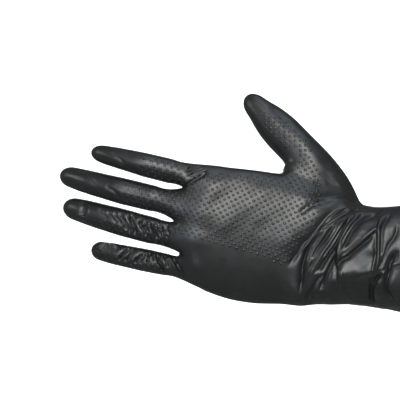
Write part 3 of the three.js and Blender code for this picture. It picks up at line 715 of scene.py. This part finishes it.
def smooth_line(path, steps=4):
    """A rounded line through the listed points."""
    p = np.array(path, float)
    p = np.vstack([2 * p[0] - p[1], p, 2 * p[-1] - p[-2]])
    made = []
    for i in range(1, len(p) - 2):
        for t in np.arange(steps) / steps:
            a = 2 * p[i] + (p[i + 1] - p[i - 1]) * t
            b = (2 * p[i - 1] - 5 * p[i] + 4 * p[i + 1] - p[i + 2]) * t**2
            c = (-p[i - 1] + 3 * p[i] - 3 * p[i + 1] + p[i + 2]) * t**3
            made.append((a + b + c) / 2)
    made.append(p[-2])
    return np.array(made)


def line_distances(flat, facing, path, reach):
    """Points near a line: which, how far, on which side, and how far along it (and its length)."""
    line = smooth_line(path)
    low, high = line.min(0) - reach, line.max(0) + reach
    near = np.where((facing > 0) & (flat > low).all(1) & (flat < high).all(1))[0]
    lengths = np.concatenate([[0], np.cumsum(np.linalg.norm(np.diff(line, axis=0), axis=1))])
    best = np.full(len(near), 1e9)
    side = np.ones(len(near))
    place = np.zeros(len(near))
    for i in range(len(line) - 1):
        a, d = line[i], line[i + 1] - line[i]
        offset = flat[near] - a
        t = np.clip((offset @ d) / (d @ d), 0, 1)
        gap = np.linalg.norm(offset - t[:, None] * d, axis=1)
        closer = gap < best
        best[closer] = gap[closer]
        side[closer] = np.sign(offset[:, 0] * d[1] - offset[:, 1] * d[0])[closer]
        place[closer] = (lengths[i] + t * (lengths[i + 1] - lengths[i]))[closer]
    return near, best, side, place, lengths[-1]


def fold_relief(flat, facing, folds):
    """Height of the listed folds: sharp valleys and ridges along their lines."""
    height = np.zeros(len(flat))
    for _, depth, width, path in folds:
        near, gap, _, place, length = line_distances(flat, facing, path, 5 * width)
        fade = smoothstep(np.minimum(place, length - place), -0.6 * width, 0.2 * length)
        soft = 0.2 * width
        height[near] -= depth * fade * facing[near] * np.exp(-(np.sqrt(gap**2 + soft**2) - soft) / width)
    return height


def broad_relief(flat, facing, forms):
    """Height of the soft swellings and hollows under the film."""
    height = np.zeros(len(flat))
    for _, rise, width, path in forms:
        near, gap, _, _, _ = line_distances(flat, facing, path, 3 * width)
        height[near] += rise * facing[near] * np.exp(-((gap / width) ** 2))
    return height


def pleat_relief(flat, facing, pleats):
    """Height of the pleats: the film steps up at the line and falls back gently towards the cuff."""
    height = np.zeros(len(flat))
    for _, lift, reach, path in pleats:
        near, gap, side, place, length = line_distances(flat, facing, path, 3 * reach)
        across = gap * -side
        fade = smoothstep(np.minimum(place, length - place), 0, 0.25 * length)
        step = smoothstep(across, -0.9, 0.5)
        ends = np.exp(-((np.maximum(gap - np.abs(across), 0)) / 3) ** 2)
        height[near] += lift * fade * ends * facing[near] * step * np.exp(-np.maximum(across, 0) / reach)
    return height


def film_noise(points, size, seed):
    """Soft unevenness from a few crossing waves, between about -1 and 1."""
    rng = np.random.default_rng(seed)
    total = np.zeros(len(points))
    for _ in range(14):
        direction = rng.normal(size=3)
        direction /= np.linalg.norm(direction)
        wave = 2 * math.pi / (size * rng.uniform(0.7, 1.6))
        total += np.sin(points @ direction * wave + rng.uniform(0, 2 * math.pi))
    return total / 4


# size of the waves, seed, share of the slack everywhere, and share added where the film is loose
UNEVENNESS = [(14, 3, 0.35, 1.6), (6, 8, 0.12, 0.2)]
LOOSE_UNTIL, TIGHT_FROM = 1.6, 3.0  # stages


def relief(points, outward, stages, fold_scale, slack):
    """Height of everything that the film does over the smooth form."""
    flat = points[:, [0, 2]]
    on_back = smoothstep(-outward[:, 1], -0.15, 0.35)
    on_palm = smoothstep(outward[:, 1], -0.1, 0.4)
    height = fold_scale * fold_relief(flat, on_back, WRIST_FOLDS + FINGER_FOLDS)
    height += broad_relief(flat, on_back, BROAD_FORMS) + pleat_relief(flat, on_back, PLEATS)
    height += fold_scale * fold_relief(flat, on_palm, PALM_FOLDS)
    loose = 1 - smoothstep(stages, LOOSE_UNTIL, TIGHT_FROM)
    for size, seed, everywhere, added in UNEVENNESS:
        height += slack * film_noise(points, size, seed) * (everywhere + added * loose)
    return height


# ---------------------------------------------------------------- finishes


COLOUR_A, COLOUR_B, MIXED_COLOUR = 6, 7, 2  # sockets of the Mix node
LEAST, MOST, RANDOM_FLOAT = 2, 3, 1  # sockets of the Random Value node


def node(tree, kind, place, inputs=None, **settings):
    """Adds a node. Its inputs are given by name or number, as a value or as the output that feeds them."""
    made = tree.nodes.new(kind)
    made.location = place
    for key, value in settings.items():
        setattr(made, key, value)
    for key, value in (inputs or {}).items():
        if isinstance(value, bpy.types.NodeSocket):
            tree.links.new(value, made.inputs[key])
        else:
            made.inputs[key].default_value = value
    return made


def nitrile_material(colour, roughness):
    """Black satin nitrile: slight colour variation, uneven sheen, a fine pebble and drawn-out creases."""
    material = bpy.data.materials.new("black nitrile")
    material.use_nodes = True
    tree = material.node_tree
    tree.nodes.clear()
    place = node(tree, "ShaderNodeTexCoord", (-900, 0)).outputs["Object"]

    def noise(row, scale, detail, at=place):
        inputs = {"Vector": at, "Scale": scale, "Detail": detail}
        return node(tree, "ShaderNodeTexNoise", (-600, row), inputs).outputs["Fac"]

    clouds = noise(250, 45, 4)
    dark, pale = ((*[share * c for c in colour], 1) for share in (0.7, 1.35))
    tints = {"Factor": clouds, COLOUR_A: dark, COLOUR_B: pale}
    tint = node(tree, "ShaderNodeMix", (-250, 250), tints, data_type="RGBA")
    patches = noise(0, 130, 5)
    spread = {"From Min": 0.3, "From Max": 0.7, "To Min": roughness - 0.05, "To Max": roughness + 0.05}
    sheen = node(tree, "ShaderNodeMapRange", (-250, 0), {"Value": patches, **spread})
    pebble = {"Height": noise(-250, 1400, 2), "Strength": 0.25, "Distance": 0.00006}
    fine = node(tree, "ShaderNodeBump", (-250, -250), pebble)
    stretch = {"Vector": place, "Scale": (420, 420, 130), "Rotation": (0, math.radians(35), 0)}
    stretched = node(tree, "ShaderNodeMapping", (-750, -500), stretch)
    creases = {"Height": noise(-500, 1, 3, stretched.outputs["Vector"]), "Strength": 0.3, "Distance": 0.00025}
    drawn = node(tree, "ShaderNodeBump", (0, -350), {**creases, "Normal": fine.outputs["Normal"]})
    looks = {
        "Base Color": tint.outputs[MIXED_COLOUR],
        "Roughness": sheen.outputs["Result"],
        "Normal": drawn.outputs["Normal"],
        "IOR": 1.5,
    }
    film = node(tree, "ShaderNodeBsdfPrincipled", (300, 0), looks)
    node(tree, "ShaderNodeOutputMaterial", (600, 0), {"Surface": film.outputs["BSDF"]})
    return material


def floor_material(colour):
    """Plain matt studio paper."""
    material = bpy.data.materials.new("studio paper")
    material.use_nodes = True
    paper = material.node_tree.nodes["Principled BSDF"]
    looks = {
        "Base Color": (*colour, 1),
        "Roughness": 0.95,
        "Specular IOR Level": 0.1,
        "Emission Color": (1, 1, 1, 1),
        "Emission Strength": 0.6,
    }
    for name, value in looks.items():
        paper.inputs[name].default_value = value
    return material


# ---------------------------------------------------------------- film piece

VALLEY_REACH = 2.2  # the inner skin stays below all valleys of the outer one that are this near
BEAD_START = 135  # degrees round the rolled edge, where the film goes over into it
BEAD_TURN = (120, -90, 15)  # first and last angle and number of its loops
BEAD_NOISE = (9, 21)  # size and seed of its unevenness
BEAD_WAVER, EDGE_WAVER = 0.06, 0.03  # shares of its radius, outwards and along the hand


def ordered_mouth(points, faces):
    """The points of the open edge, in order round the mouth."""
    edges = {}
    for face in faces:
        for m, p in enumerate(face):
            key = tuple(sorted((p, face[(m + 1) % len(face)])))
            edges[key] = edges.get(key, 0) + 1
    rim = {p for key, count in edges.items() if count == 1 for p in key}
    return sorted(rim, key=lambda p: math.atan2(points[p][1], points[p][2]))


def inner_skin(cage, settings, points, height):
    """The inside of the film: the smooth form, its skin below the outer skin's valleys, and its faces."""
    form, outward, faces, stages = smooth_film(cage, 1)
    under = relief(form, outward, stages, settings.fold_scale, settings.slack / MM)
    tree = KDTree(len(points))
    for i, p in enumerate(points):
        tree.insert(p, i)
    tree.balance()
    for i, p in enumerate(form):
        near = [n for _, n, _ in tree.find_range(p, VALLEY_REACH)]
        if near:
            under[i] = min(under[i], height[near].min())
    return form, form + outward * (under - settings.thickness / MM)[:, None], faces


def rolled_edge(points, outward, height, radius, thickness):
    """Loops of places round the rolled edge, from the outer skin's rim to the inner skin's."""
    out = outward.copy()
    out[:, 0] = 0
    out /= np.linalg.norm(out, axis=1)[:, None]
    base = points + out * height[:, None]
    waver = 1 + BEAD_WAVER * film_noise(points, *BEAD_NOISE)
    loops = []
    for angle in np.linspace(*BEAD_TURN):
        a = math.radians(angle)
        rise = radius * waver * (1 + math.sin(a)) - thickness
        place = base + out * rise[:, None]
        place[:, 0] = -radius * (1 - math.cos(a)) * (1 - EDGE_WAVER + EDGE_WAVER * waver)
        loops.append(place)
    return loops


def add_piece(name, vertices, faces, material):
    """A smooth-shaded piece from places in metres and faces."""
    mesh = bpy.data.meshes.new(name)
    mesh.from_pydata(vertices, [], faces)
    mesh.polygons.foreach_set("use_smooth", [True] * len(mesh.polygons))
    mesh.materials.append(material)
    piece = bpy.data.objects.new(name, mesh)
    bpy.context.scene.collection.objects.link(piece)
    return piece


def build_film(settings, material):
    """The closed film: outer skin with its folds, rolled edge and inner skin."""
    radius = settings.bead_radius / MM
    bead_reach = radius * (1 - math.cos(math.radians(BEAD_START)))
    cage = film_cage(bead_reach)
    points, outward, faces, stages = smooth_film(cage, 2, fine=True)
    height = relief(points, outward, stages, settings.fold_scale, settings.slack / MM)
    outer = points + outward * height[:, None]
    rim = ordered_mouth(points, faces)
    outer[rim, 0] = -bead_reach
    form, inner, inner_faces = inner_skin(cage, settings, points, height)
    inner_rim = ordered_mouth(form, inner_faces)
    inner[inner_rim, 0] = -radius

    vertices = list(map(tuple, outer))
    made = list(faces)
    loops = [rim]
    for place in rolled_edge(points[rim], outward[rim], height[rim], radius, settings.thickness / MM):
        loops.append(list(range(len(vertices), len(vertices) + len(rim))))
        vertices += list(map(tuple, place))
    for a, b in zip(loops[:-1], loops[1:]):
        for m in range(len(a)):
            n = (m + 1) % len(a)
            made.append((a[m], a[n], b[n], b[m]))

    # the inner rim has half as many points as the last loop of the rolled edge
    first_inner = len(vertices)
    vertices += list(map(tuple, inner))
    made += [tuple(first_inner + p for p in face[::-1]) for face in inner_faces]
    last = loops[-1]
    first = inner[inner_rim[0]]
    shift = min(range(len(last)), key=lambda m: np.linalg.norm(np.array(vertices[last[m]]) - first))
    for m in range(len(inner_rim)):
        n = (m + 1) % len(inner_rim)
        a, b, c = (last[(shift + 2 * m + i) % len(last)] for i in range(3))
        p, q = first_inner + inner_rim[m], first_inner + inner_rim[n]
        made += [(a, b, p), (b, q, p), (b, c, q)]

    piece = add_piece("glove_film", [tuple(c * MM for c in v) for v in vertices], made, material)
    piece.data.update()
    bpy.context.view_layer.update()
    check = bmesh.new()
    check.from_mesh(piece.data)
    bmesh.ops.recalc_face_normals(check, faces=check.faces)
    check.to_mesh(piece.data)
    check.free()
    return piece


# ---------------------------------------------------------------- grip studs


def inside_outline(x, z, outline):
    """Whether a place in the hand's plane lies inside an outline."""
    hit = False
    for (x0, z0), (x1, z1) in zip(outline, outline[1:] + outline[:1]):
        if (z0 > z) != (z1 > z) and x < x0 + (z - z0) * (x1 - x0) / (z1 - z0):
            hit = not hit
    return hit


# on the back: where the studs end on wrist and thumb, the line below which the film is drawn flat,
# and the web of the thumb, which is stretched smooth
GRIP_EDGE = [
    (-88, -60), (-86, -5), (-82, 3), (-77, 10), (-71.5, 17), (-66, 24), (-63, 30), (-62.7, 40), (-64, 48),
    (-65.5, 59), (-68.5, 68), (-72, 75), (-76, 82), (-81, 87), (-88.7, 93), (-95, 97), (-104, 99.5),
    (-140, 101),
]
FLAT_LINE = [(-166, 20), (-146, 14.3), (-120, 7.6), (-102, 2.3), (-87, -5.6), (-60, -20)]
SMOOTH_WEB = [
    (-150, 100), (-106.8, 98), (-104.2, 93.4), (-101.5, 86.7), (-94.8, 81.3), (-90, 74.6), (-80.6, 73.2),
    (-81.3, 62.5), (-89.4, 57.5), (-110, 56.5), (-142, 57.5), (-150, 60),
]
# on the back of the fingers the studs fade out towards the tip: index and middle finger have none from
# there on, the other two have low ones
INDEX_SIDE, MIDDLE_SIDE = 57, 28  # lower sides of the two fingers
INDEX_FADE, MIDDLE_FADE, OTHERS_FADE = -183, -195, -198
FADE_LENGTH = 20
FADED, FADED_OTHERS = 0.3, 0.75
# on the palm
PALM_GRIP_EDGE = -66
THUMB_SIDE_END = 82  # studs go on to the tip of the thumb
THUMB_OUTLINE = [(-66, 130), (-66, 74), (-82, 66), (-96, 72), (-125, 98), (-130, 130)]
THUMB_ROW_SLOPE = math.radians(42)
LATTICE_ROWS, LATTICE_PLACES = range(-75, 76), range(-15, 75)
CAST_FROM = 0.1  # metres from the hand's plane
LEAST_FACING = 0.42  # studs stand only where the film faces the back or the palm


def stud_rise(x, z, on_back):
    """Height of a stud as a share of the full height, or 0 where the film has none."""
    level = z if on_back else min(z, THUMB_SIDE_END)
    edge = np.interp(level, [p[1] for p in GRIP_EDGE], [p[0] for p in GRIP_EDGE])
    if x > (edge if on_back else min(edge, PALM_GRIP_EDGE)):
        return 0
    if not on_back:
        return 1.0
    flat = x > FLAT_LINE[0][0] and z < np.interp(x, [p[0] for p in FLAT_LINE], [p[1] for p in FLAT_LINE])
    if flat or inside_outline(x, z, SMOOTH_WEB):
        return 0
    fade, least = OTHERS_FADE, FADED_OTHERS
    if z > MIDDLE_SIDE:
        fade, least = (INDEX_FADE if z > INDEX_SIDE else MIDDLE_FADE), FADED
        if x < fade:
            return 0
    return float(lerp(least, 1.0, smoothstep(x, fade, fade + FADE_LENGTH)))


def stud_places(film, settings):
    """Places, outward directions, heights and rows of the studs, from two lattices cast on the film."""
    tree = BVHTree.FromPolygons(
        [v.co for v in film.data.vertices], [tuple(f.vertices) for f in film.data.polygons]
    )
    places = []
    for slope, on_thumb in ((settings.row_slope, False), (THUMB_ROW_SLOPE, True)):
        u = np.array([-math.cos(slope), math.sin(slope)])
        v = np.array([math.sin(slope), math.cos(slope)])
        for j in LATTICE_ROWS:
            for i in LATTICE_PLACES:
                x, z = u * (i + 0.5 * (j % 2)) * settings.stud_spacing + v * j * settings.row_spacing
                if inside_outline(x / MM, z / MM, THUMB_OUTLINE) != on_thumb:
                    continue
                for side in (-1, 1):
                    rise = stud_rise(x / MM, z / MM, side < 0)
                    if not rise:
                        continue
                    start = Vector((x, side * CAST_FROM, z))
                    hit, normal, _, _ = tree.ray_cast(start, Vector((0, -side, 0)))
                    if hit and normal.y * side >= LEAST_FACING:
                        places.append((hit, normal, rise, (u[0], 0, u[1])))
    return places


def stud_tree():
    """Geometry nodes that set a low rounded stud on each point, turned to the film."""
    tree = bpy.data.node_groups.new("Grip studs", "GeometryNodeTree")
    for name, way, kind in (
        ("Geometry", "INPUT", "NodeSocketGeometry"),
        ("Stud width", "INPUT", "NodeSocketFloat"),
        ("Stud height", "INPUT", "NodeSocketFloat"),
        ("Seed", "INPUT", "NodeSocketInt"),
        ("Material", "INPUT", "NodeSocketMaterial"),
        ("Geometry", "OUTPUT", "NodeSocketGeometry"),
    ):
        tree.interface.new_socket(name, in_out=way, socket_type=kind)
    given = node(tree, "NodeGroupInput", (-900, 0)).outputs

    def combine(place, x, y, z=0):
        return node(tree, "ShaderNodeCombineXYZ", place, {"X": x, "Y": y, "Z": z}).outputs["Vector"]

    def maths(place, operation, *values):
        made = node(tree, "ShaderNodeMath", place, dict(enumerate(values)), operation=operation)
        return made.outputs["Value"]

    def attribute(row, name, kind):
        made = node(tree, "GeometryNodeInputNamedAttribute", (-600, row), {"Name": name}, data_type=kind)
        return made.outputs["Attribute"]

    # one stud of unit size: a cone whose sides are lifted into a dome, then an oval of the given size
    sizes = {"Vertices": 8, "Side Segments": 3, "Radius Top": 0, "Radius Bottom": 1, "Depth": 1}
    cone = node(tree, "GeometryNodeMeshCone", (-900, -300), sizes)
    position = node(tree, "GeometryNodeInputPosition", (-900, -600)).outputs["Position"]
    parts = node(tree, "ShaderNodeSeparateXYZ", (-750, -600), {"Vector": position}).outputs
    flat = combine((-600, -600), parts["X"], parts["Y"])
    length = node(tree, "ShaderNodeVectorMath", (-450, -600), {0: flat}, operation="LENGTH")
    from_middle = length.outputs["Value"]
    squared = maths((-300, -600), "MULTIPLY", from_middle, from_middle)
    rounded = maths((0, -600), "MULTIPLY_ADD", squared, -1.1, 1)
    lifted = combine((150, -600), parts["X"], parts["Y"], rounded)
    lift = {"Geometry": cone.outputs["Mesh"], "Position": lifted}
    dome = node(tree, "GeometryNodeSetPosition", (-600, -200), lift)
    long_side = maths((-750, -900), "MULTIPLY", given["Stud width"], 0.54)
    short_side = maths((-750, -1050), "MULTIPLY", given["Stud width"], 0.47)
    size = combine((-550, -900), long_side, short_side, given["Stud height"])
    fit = {"Geometry": dome.outputs["Geometry"], "Scale": size}
    stud = node(tree, "GeometryNodeTransform", (-350, -200), fit)

    # each stud stands on the film, its long side along the row, a little larger or smaller than the next
    align = "FunctionNodeAlignRotationToVector"
    outward = {"Vector": attribute(350, "outward", "FLOAT_VECTOR")}
    up = node(tree, align, (-350, 350), outward, axis="Z")
    along = {"Rotation": up.outputs["Rotation"], "Vector": attribute(200, "row", "FLOAT_VECTOR")}
    turned = node(tree, align, (-150, 300), along, axis="X", pivot_axis="Z")
    spread = {LEAST: 0.88, MOST: 1.1, "Seed": given["Seed"]}
    random = node(tree, "FunctionNodeRandomValue", (-350, 50), spread, data_type="FLOAT")
    uneven = random.outputs[RANDOM_FLOAT]
    tall = maths((-150, 50), "MULTIPLY", uneven, attribute(50, "rise", "FLOAT"))
    studs = {
        "Points": given["Geometry"],
        "Instance": stud.outputs["Geometry"],
        "Rotation": turned.outputs["Rotation"],
        "Scale": combine((0, 50), uneven, uneven, tall),
    }
    placed = node(tree, "GeometryNodeInstanceOnPoints", (100, 150), studs)
    instances = {"Geometry": placed.outputs["Instances"]}
    real = node(tree, "GeometryNodeRealizeInstances", (300, 150), instances)
    shaded = node(tree, "GeometryNodeSetShadeSmooth", (480, 150), {"Geometry": real.outputs["Geometry"]})
    finish = {"Geometry": shaded.outputs["Geometry"], "Material": given["Material"]}
    finished = node(tree, "GeometryNodeSetMaterial", (680, 150), finish)
    node(tree, "NodeGroupOutput", (900, 0), {"Geometry": finished.outputs["Geometry"]})
    return tree


def build_studs(film, settings, material):
    """The grip studs as one piece, made by geometry nodes from their places on the film."""
    hits, normals, rises, rows = zip(*stud_places(film, settings))
    mesh = bpy.data.meshes.new("grip places")
    mesh.from_pydata([tuple(hit) for hit in hits], [], [])
    for name, kind, key, values in (
        ("outward", "FLOAT_VECTOR", "vector", [tuple(n) for n in normals]),
        ("row", "FLOAT_VECTOR", "vector", rows),
        ("rise", "FLOAT", "value", rises),
    ):
        attribute = mesh.attributes.new(name, kind, "POINT")
        attribute.data.foreach_set(key, np.array(values, np.float32).ravel())
    carrier = bpy.data.objects.new("grip places", mesh)
    bpy.context.scene.collection.objects.link(carrier)
    modifier = carrier.modifiers.new("Grip studs", "NODES")
    modifier.node_group = stud_tree()
    values = {
        "Stud width": settings.stud_width,
        "Stud height": settings.stud_height,
        "Seed": settings.seed,
        "Material": material,
    }
    for socket in modifier.node_group.interface.items_tree:
        if socket.in_out == "INPUT" and socket.name in values:
            modifier[socket.identifier] = values[socket.name]
    carrier.update_tag()
    bpy.context.view_layer.update()
    evaluated = carrier.evaluated_get(bpy.context.evaluated_depsgraph_get())
    plain = bpy.data.meshes.new_from_object(evaluated)
    plain.name = "grip_studs"
    piece = bpy.data.objects.new("grip_studs", plain)
    bpy.context.scene.collection.objects.link(piece)
    bpy.data.objects.remove(carrier)
    bpy.data.meshes.remove(mesh)
    return piece


# ---------------------------------------------------------------- stage


FLOOR_SIDES = 96
SOFTBOX_DISTANCE = 1.7
# name, azimuth, elevation, width and height, share of the key light's power, colour
SOFTBOXES = [
    ("key softbox", 9.5, 27, (0.65, 1.15), 0.81, (1, 1, 0.96)),
    ("fill softbox", -13, 7, (0.45, 0.5), 0.21, (0.8, 0.92, 1)),
    ("side softbox", -57, 22, (0.25, 0.5), 0.13, (1, 1, 1)),
    ("cool softbox", 40, 62, (0.5, 0.4), 0.08, (0.7, 0.84, 1)),
    ("back softbox", 188, 2, (0.9, 0.9), 0.6, (1, 1, 1)),
    ("top softbox", 60, 75, (1.2, 0.9), 0.15, (0.8, 0.9, 1)),
]
SENSOR_WIDTH = 36


def build_floor(settings, material):
    """A round pale floor that curves up into a wall on every side."""
    radius, drop, sweep = settings.floor_radius, settings.floor_drop, settings.floor_sweep
    profile = [(radius * t, -drop) for t in (0.25, 0.5, 0.75, 1.0)]
    for angle in np.linspace(10, 90, 9):
        a = math.radians(angle)
        profile.append((radius + sweep * math.sin(a), -drop + sweep * (1 - math.cos(a))))
    profile.append((radius + sweep, settings.wall_height))
    low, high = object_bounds()
    middle = ((low + high) / 2).x
    turns = [2 * math.pi * m / FLOOR_SIDES for m in range(FLOOR_SIDES)]
    vertices = [(middle, 0.0, -drop)]
    for r, z in profile:
        vertices += [(r * math.cos(turn) + middle, r * math.sin(turn), z) for turn in turns]
    faces = [(0, 1 + m, 1 + (m + 1) % FLOOR_SIDES) for m in range(FLOOR_SIDES)]
    for ring in range(len(profile) - 1):
        a, b = 1 + ring * FLOOR_SIDES, 1 + (ring + 1) * FLOOR_SIDES
        for m in range(FLOOR_SIDES):
            n = (m + 1) % FLOOR_SIDES
            faces.append((a + m, b + m, b + n, a + n))
    return add_piece("studio_floor", vertices, faces, material)


def add_softbox(name, target, azimuth, elevation, size, power, colour):
    """A softbox that faces the glove and isn't seen by the camera itself."""
    light = bpy.data.lights.new(name, "AREA")
    light.shape = "RECTANGLE"
    light.size, light.size_y = size
    light.energy = power
    light.color = colour
    lamp = bpy.data.objects.new(name, light)
    a, e = math.radians(azimuth), math.radians(elevation)
    back = Vector((math.sin(a) * math.cos(e), -math.cos(a) * math.cos(e), math.sin(e)))
    lamp.location = target + back * SOFTBOX_DISTANCE
    lamp.rotation_euler = (-back).to_track_quat("-Z", "Y").to_euler()
    lamp.visible_camera = False
    bpy.context.scene.collection.objects.link(lamp)


def add_camera(settings):
    """The camera, level with the hand, and the place that it looks at."""
    a = math.radians(settings.camera_azimuth)
    back = Vector((math.sin(a), -math.cos(a), 0))
    right = Vector((math.cos(a), math.sin(a), 0))
    target = right * settings.aim_right + Vector((0, 0, settings.aim_up))
    data = bpy.data.cameras.new("camera")
    data.sensor_width = SENSOR_WIDTH
    data.lens = SENSOR_WIDTH * settings.camera_distance / settings.frame_width
    data.clip_start, data.clip_end = 0.01, 50
    camera = bpy.data.objects.new("camera", data)
    camera.location = target + back * settings.camera_distance
    camera.rotation_euler = (-back).to_track_quat("-Z", "Y").to_euler()
    bpy.context.scene.collection.objects.link(camera)
    bpy.context.scene.camera = camera
    return target


# ---------------------------------------------------------------- settings


class FilmSettings(PropertyGroup):
    thickness: FloatProperty(
        name="Film thickness", description="Wall of the film",
        default=0.0011, min=0.0002, max=0.002, unit="LENGTH",
    )
    bead_radius: FloatProperty(
        name="Rolled edge", description="Radius of the rolled edge of the cuff",
        default=0.0013, min=0.0008, unit="LENGTH",
    )
    fold_scale: FloatProperty(
        name="Fold depth", description="Depth of the folds, as a share of the worn glove's",
        default=1.9, min=0, max=2.5,
    )
    slack: FloatProperty(
        name="Slack", description="Height of the film's soft unevenness",
        default=0.00016, min=0, max=0.001, unit="LENGTH",
    )
    colour: FloatVectorProperty(
        name="Colour", description="Colour of the film",
        default=(0.005, 0.0052, 0.0056), subtype="COLOR", size=3,
    )
    roughness: FloatProperty(
        name="Roughness", description="Roughness of the film's sheen",
        default=0.36, min=0.1, max=0.9, subtype="FACTOR",
    )


class GripSettings(PropertyGroup):
    stud_spacing: FloatProperty(
        name="Stud spacing", description="Distance between studs in a row",
        default=0.00475, min=0.002, unit="LENGTH",
    )
    row_spacing: FloatProperty(
        name="Row spacing", description="Distance between rows", default=0.00222, min=0.001, unit="LENGTH"
    )
    row_slope: FloatProperty(
        name="Row slope", description="Turn of the rows from the cuff's line",
        default=math.radians(15.5), subtype="ANGLE",
    )
    stud_width: FloatProperty(
        name="Stud width", description="Width of one stud", default=0.0022, min=0.0005, unit="LENGTH"
    )
    stud_height: FloatProperty(
        name="Stud height", description="Height of one stud above the film",
        default=0.00026, min=0.0001, unit="LENGTH",
    )
    roughness: FloatProperty(
        name="Roughness", description="Roughness of the studs' sheen",
        default=0.27, min=0.1, max=0.9, subtype="FACTOR",
    )
    seed: IntProperty(name="Seed", description="Seed of the studs' unevenness", default=5)


class StageSettings(PropertyGroup):
    floor_radius: FloatProperty(
        name="Floor radius", description="Radius of the flat floor", default=2.2, min=0.5, unit="LENGTH"
    )
    floor_drop: FloatProperty(
        name="Floor drop", description="How far the floor lies below the cuff",
        default=0.6, min=0.05, unit="LENGTH",
    )
    floor_sweep: FloatProperty(
        name="Sweep", description="Radius of the curve from floor to wall",
        default=1.2, min=0.1, unit="LENGTH",
    )
    wall_height: FloatProperty(
        name="Wall height", description="Top of the wall", default=2.6, min=0.7, unit="LENGTH"
    )
    floor_colour: FloatVectorProperty(
        name="Floor colour", description="Colour of floor and wall",
        default=(0.9, 0.9, 0.9), subtype="COLOR", size=3,
    )
    key_power: FloatProperty(
        name="Key light", description="Power of the main softbox", default=31, unit="POWER"
    )
    surround: FloatProperty(name="Surround", description="Strength of the pale surround", default=0.2, min=0)
    camera_azimuth: FloatProperty(
        name="Azimuth", description="Camera angle round the glove, degrees", default=9
    )
    camera_distance: FloatProperty(name="Distance", description="Camera to glove", default=1.0, unit="LENGTH")
    frame_width: FloatProperty(
        name="Frame", description="Width of the view at the glove", default=0.2688, unit="LENGTH"
    )
    aim_right: FloatProperty(
        name="Aim right", description="Middle of the view, across", default=-0.1458, unit="LENGTH"
    )
    aim_up: FloatProperty(name="Aim up", description="Middle of the view, up", default=0.0396, unit="LENGTH")


# ---------------------------------------------------------------- operators


def find_piece(name):
    piece = bpy.data.objects.get(name)
    if piece is None:
        raise RuntimeError(f"{name} must be built first")
    return piece


class GLOVE_OT_film(Operator):
    """Builds the closed film with its folds and rolled edge"""

    bl_idname = "glove.film"
    bl_label = "Build film"

    def execute(self, context):
        settings = context.scene.glove_film
        material = nitrile_material(tuple(settings.colour), settings.roughness)
        piece = build_film(settings, material)
        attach(piece, "root")
        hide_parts("glove")
        return {"FINISHED"}


class GLOVE_OT_grip(Operator):
    """Sets the raised grip studs on the back, the palm and the digits"""

    bl_idname = "glove.grip"
    bl_label = "Add grip studs"

    def execute(self, context):
        film = find_piece("glove_film")
        settings = context.scene.glove_grip
        material = nitrile_material(tuple(context.scene.glove_film.colour), settings.roughness)
        piece = build_studs(film, settings, material)
        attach(piece, "root")
        return {"FINISHED"}


class GLOVE_OT_stage(Operator):
    """Builds the pale floor, the softboxes, the surround and the camera"""

    bl_idname = "glove.stage"
    bl_label = "Build stage"

    def execute(self, context):
        settings = context.scene.glove_stage
        floor = build_floor(settings, floor_material(tuple(settings.floor_colour)))
        floor.visible_glossy = False
        floor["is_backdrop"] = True
        target = add_camera(settings)
        for name, azimuth, elevation, size, share, colour in SOFTBOXES:
            add_softbox(name, target, azimuth, elevation, size, share * settings.key_power, colour)
        world = context.scene.world or bpy.data.worlds.new("surround")
        context.scene.world = world
        world.use_nodes = True
        background = world.node_tree.nodes["Background"]
        background.inputs["Color"].default_value = (0.94, 1, 0.95, 1)
        background.inputs["Strength"].default_value = settings.surround
        context.scene.view_settings.view_transform = "Standard"
        return {"FINISHED"}


class GLOVE_PT_parts(Panel):
    """Lists the glove's sizes and the steps that build it"""

    bl_idname = "GLOVE_PT_parts"
    bl_label = "Exam glove"
    bl_space_type = "VIEW_3D"
    bl_region_type = "UI"
    bl_category = "Glove"

    def draw(self, context):
        for step in ("film", "grip", "stage"):
            box = self.layout.box()
            settings = getattr(context.scene, f"glove_{step}")
            for name in settings.__annotations__:
                box.prop(settings, name)
            box.operator(f"glove.{step}")


CLASSES = (
    FilmSettings,
    GripSettings,
    StageSettings,
    GLOVE_OT_film,
    GLOVE_OT_grip,
    GLOVE_OT_stage,
    GLOVE_PT_parts,
)


def register():
    for item in CLASSES:
        bpy.utils.register_class(item)
    bpy.types.Scene.glove_film = PointerProperty(type=FilmSettings)
    bpy.types.Scene.glove_grip = PointerProperty(type=GripSettings)
    bpy.types.Scene.glove_stage = PointerProperty(type=StageSettings)


def unregister():
    del bpy.types.Scene.glove_film
    del bpy.types.Scene.glove_grip
    del bpy.types.Scene.glove_stage
    for item in reversed(CLASSES):
        bpy.utils.unregister_class(item)


def main():
    register()
    bpy.ops.glove.film()
    bpy.ops.glove.grip()
    bpy.ops.glove.stage()


if __name__ == "__main__":
    main()
